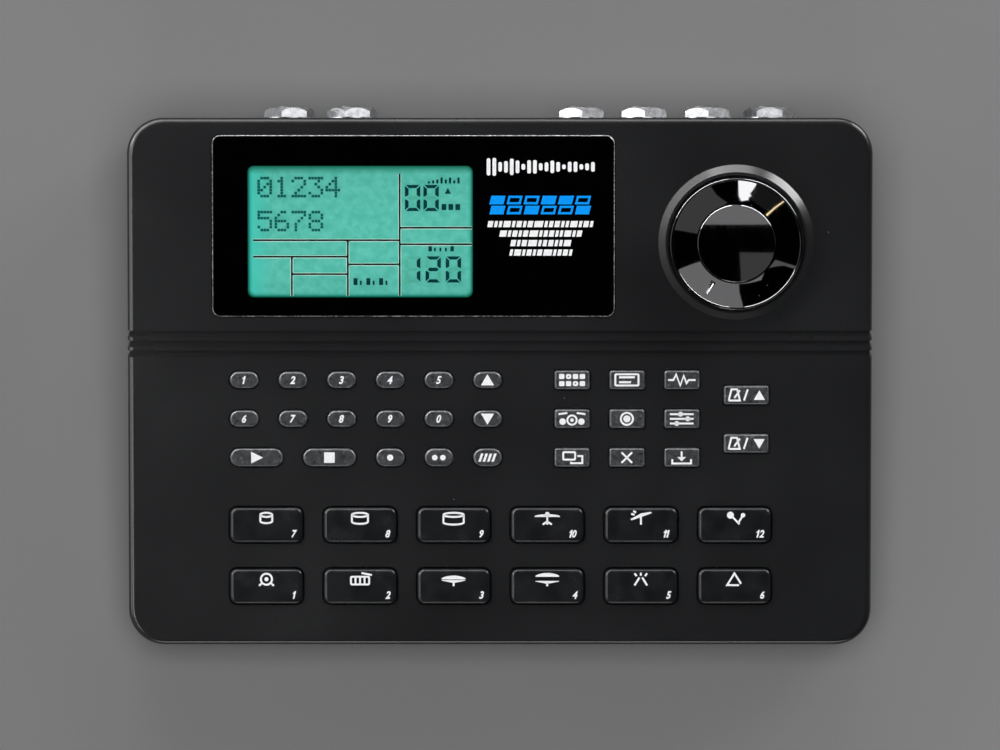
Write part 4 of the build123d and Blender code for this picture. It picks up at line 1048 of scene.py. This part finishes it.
# %% Signs of the keys and pads
OPEN_STEPS = ((1, 1.15), (2, -1.15))
SIGNS = {
    "up_key": [fill((-2.1, -1.7), (2.1, -1.7), (0.0, 1.9))],
    "down_key": [fill((-2.1, 1.7), (0.0, -1.9), (2.1, 1.7))],
    "play_key": [fill((-1.7, -1.9), (2.1, 0.0), (-1.7, 1.9))],
    "stop_key": [fill((-1.7, -1.7), (1.7, -1.7), (1.7, 1.7), (-1.7, 1.7))],
    "a_key": [disc(0, 0, 1.0)],
    "b_key": [disc(-1.3, 0, 0.9), disc(1.3, 0, 0.9)],
    "fill_key": [fill(*slanted(x, 0, 0.8, 2.6, 0.35)) for x in (-2.1, -0.7, 0.7, 2.1)],
    "pattern_key": [
        fill(*rounded(-3.3 + 2.2 * i, y, 1.7, 1.6, 0.2, 2))
        for i in range(4) for y in (-1.15, 1.15) if (i, y) not in OPEN_STEPS
    ] + [box_line(-3.3 + 2.2 * i, y, 1.1, 1.0) for i, y in OPEN_STEPS],
    "preset_key": [
        box_line(0, 0.05, 7.4, 3.6), fill(*slanted(0, 0.9, 5.0, 0.7)),
        fill(*slanted(-0.6, -0.7, 3.8, 0.7)),
    ],
    "perform_key": [stroke(
        (-4.4, 0), (-2.7, 0), (-1.8, 1.8), (-0.5, -1.8), (0.6, 1.4), (1.5, -1.0), (2.2, 0), (4.4, 0),
    )],
    "drum_set_key": [
        ring(0, -0.4, 1.5), disc(0, -0.4, 0.6), disc(-3.0, -0.9, 1.05), disc(3.0, -0.9, 1.05),
        *both((-4.3, 1.5), (-1.5, 1.9)),
    ],
    "record_key": [disc(0, 0, 1.15), ring(0, 0, 1.95)],
    "setup_key": [stroke((-3.8, y), (3.8, y)) for y in (-1.5, 0, 1.5)]
    + [disc(x, y, 0.8) for x, y in ((-1.6, -1.5), (1.9, 0), (-0.4, 1.5))],
    "copy_key": [
        box_line(-0.9, 0.55, 3.8, 2.4),
        stroke((-0.3, -1.3), (-0.3, -1.8), (3.3, -1.8), (3.3, 0.5), (1.7, 0.5)),
    ],
    "erase_key": both((-1.7, -1.7), (1.7, 1.7)),
    "backup_key": [
        stroke((0, 2.0), (0, -0.2)), fill((-1.4, 0.2), (0, -1.2), (1.4, 0.2)),
        stroke((-3.0, -0.5), (-3.0, -1.9), (3.0, -1.9), (3.0, -0.5)),
    ],
    "tempo_up_key": tempo(1),
    "tempo_down_key": tempo(-1),
    "drum_pad_1": [ring(0, 0.1, 1.6), disc(0, 0.1, 0.6), *both((-1.3, -1.0), (-2.1, -1.8))],
    "drum_pad_2": [box_line(0, -0.3, 5.2, 2.2), stroke((0.4, 1.9), (3.4, 1.3))]
    + [stroke((x, -1.3), (x, 0.7)) for x in (-1.3, 0, 1.3)],
    "drum_pad_3": cymbal_pair(0.35, -0.15),
    "drum_pad_4": cymbal_pair(1.1, -0.4),
    "drum_pad_5": [
        *both((-1.8, -1.7), (-0.4, 0.6)), stroke((0, 1.1), (0, 2.0)), *both((-1.2, 1.0), (-1.8, 1.8)),
    ],
    "drum_pad_6": [stroke((1.3, -1.6), (-2.1, -1.6), (0, 1.8), (1.9, -1.2))],
    "drum_pad_7": drum(3.4, 1.8),
    "drum_pad_8": drum(4.6, 2.0),
    "drum_pad_9": drum(5.8, 2.2),
    "drum_pad_10": [
        cymbal(0, 0.7, 3.6, 0.5), disc(0, 1.2, 0.65), stroke((0, 0.6), (0, -1.8)),
        *both((0, -0.9), (-1.3, -1.8)),
    ],
    "drum_pad_11": [
        fill((-3.0, -0.2), (-2.7, -0.6), (3.1, 1.5), (2.8, 1.9), (0, 1.4)),
        stroke((0, 0.6), (0, -1.8)), stroke((-2.8, 1.3), (-1.8, 1.0)),
        stroke((-2.2, 2.1), (-1.4, 1.7)),
    ],
    "drum_pad_12": [
        disc(-1.2, 0.9, 1.0), stroke((-0.5, 0.3), (1.4, -1.7)), disc(2.4, 0.9, 0.65),
        stroke((2.1, 0.4), (1.1, -1.2)),
    ],
}

# %% Printing the keys and pads
SIGN_LINE, PAD_SIGN_SCALE = 0.62, 1.12


def drawn(signs, scale, low, high):
    """A list of signs as shapes between two levels, after a scale from their middle."""
    return [
        plate(scale * np.array(path, float), low, high) if kind == "fill" else
        line(scale * np.array(path, float), SIGN_LINE, low, high, closed=kind == "loop")
        for kind, path in signs
    ]


for name in key_names + pad_names:
    lowest, highest = panel_box(name)
    u, v = (lowest + highest)[:2] / 2
    low, high = highest[2] + INK
    if name in pad_names:
        number = name.rsplit("_", 1)[1]
        shapes = [moved(sign, u, v + 2.3) for sign in drawn(SIGNS[name], PAD_SIGN_SCALE, low, high)]
        corner_u = u + 8.95 - 0.7 * (len(number) - 1)
        shapes.append(moved(figures(number, 2.5, low, high), corner_u, v - 2.7))
    elif name.startswith("number_key"):
        shapes = [moved(figures(name[-1], 2.6, low, high), u, v)]
    else:
        shapes = [moved(sign, u, v) for sign in drawn(SIGNS[name], 1.0, low, high)]
    piece(f"{name}_print", on_panel(joined(shapes)), ink_white, body=name)
print("printed:", len(key_names) + len(pad_names), "keys and pads")

# %% [markdown]
# ## Rear
# The rear panel carries the sockets, each with a figure beside it. The five-pin sockets have a
# turned metal lining, and in every jack a bent spring waits for the plug: a strip that bulges
# into the bore as a bell curve.

# %% Socket linings and springs
JACK_XS = (-67.75, -47.55, 26.0, 46.2, 66.4, 86.6)
DIN_XS = (-24.0, 2.5)
JACK_Z, DIN_Z, REAR_Y = 20.0, 22.5, 82.1


def behind(grid, x, z):
    """A grid whose third axis points to the rear, in metres: its first two axes become x and z."""
    return MM * np.stack([x + grid[..., 0], grid[..., 2], z + grid[..., 1]], -1)


FOOT, SHOULDER, RIM = 73.2, REAR_Y - 0.15, REAR_Y - 0.05
lining = [(6.62, FOOT), (6.98, FOOT), (6.98, SHOULDER), (6.9, RIM), (6.7, RIM), (6.62, SHOULDER)]
turned = lathe(lining, np.arange(0, 360, 7.5))
rings = [skin(behind(turned, x, DIN_Z), (True, True), caps=False) for x in DIN_XS]
piece("din_linings", joined(rings), nickel, smooth=True)

spring_y = np.linspace(58.0, 72.0, 29)
bulge = 3.05 - 1.1 * np.exp(-((spring_y - 66.0) / 2.2) ** 2)
corners = [(-1.1, 0.0), (1.1, 0.0), (1.1, -0.25), (-1.1, -0.25)]
strip = np.stack([np.column_stack([np.full(29, a), bulge + b, spring_y]) for a, b in corners], 1)
springs = [skin(behind(strip, x, JACK_Z)) for x in JACK_XS]
piece("jack_springs", joined(springs), nickel, smooth=True)

# %% Rear printing
rear_marks = []
PLACES = [(str(i), 2.2, x, 31.4) for i, x in enumerate(JACK_XS[2:] + JACK_XS[:2] + DIN_XS, 1)]
PLACES += [("1", 1.8, -81.0, 17.5), ("0", 1.8, -90.2, 17.5)]
for text, height, x, z in PLACES:
    points, loops, sizes = figures(text, height, *INK)
    spots = np.column_stack([x - points[:, 0], REAR_Y + points[:, 2], z + points[:, 1]])
    rear_marks.append((MM * spots, loops, sizes))
piece("rear_print", joined(rear_marks), ink_white)

# %% Sizes and finish
visual_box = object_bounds()
sizes = {"cad": [list(corner) for corner in cad_box], "visual": [list(corner) for corner in visual_box]}
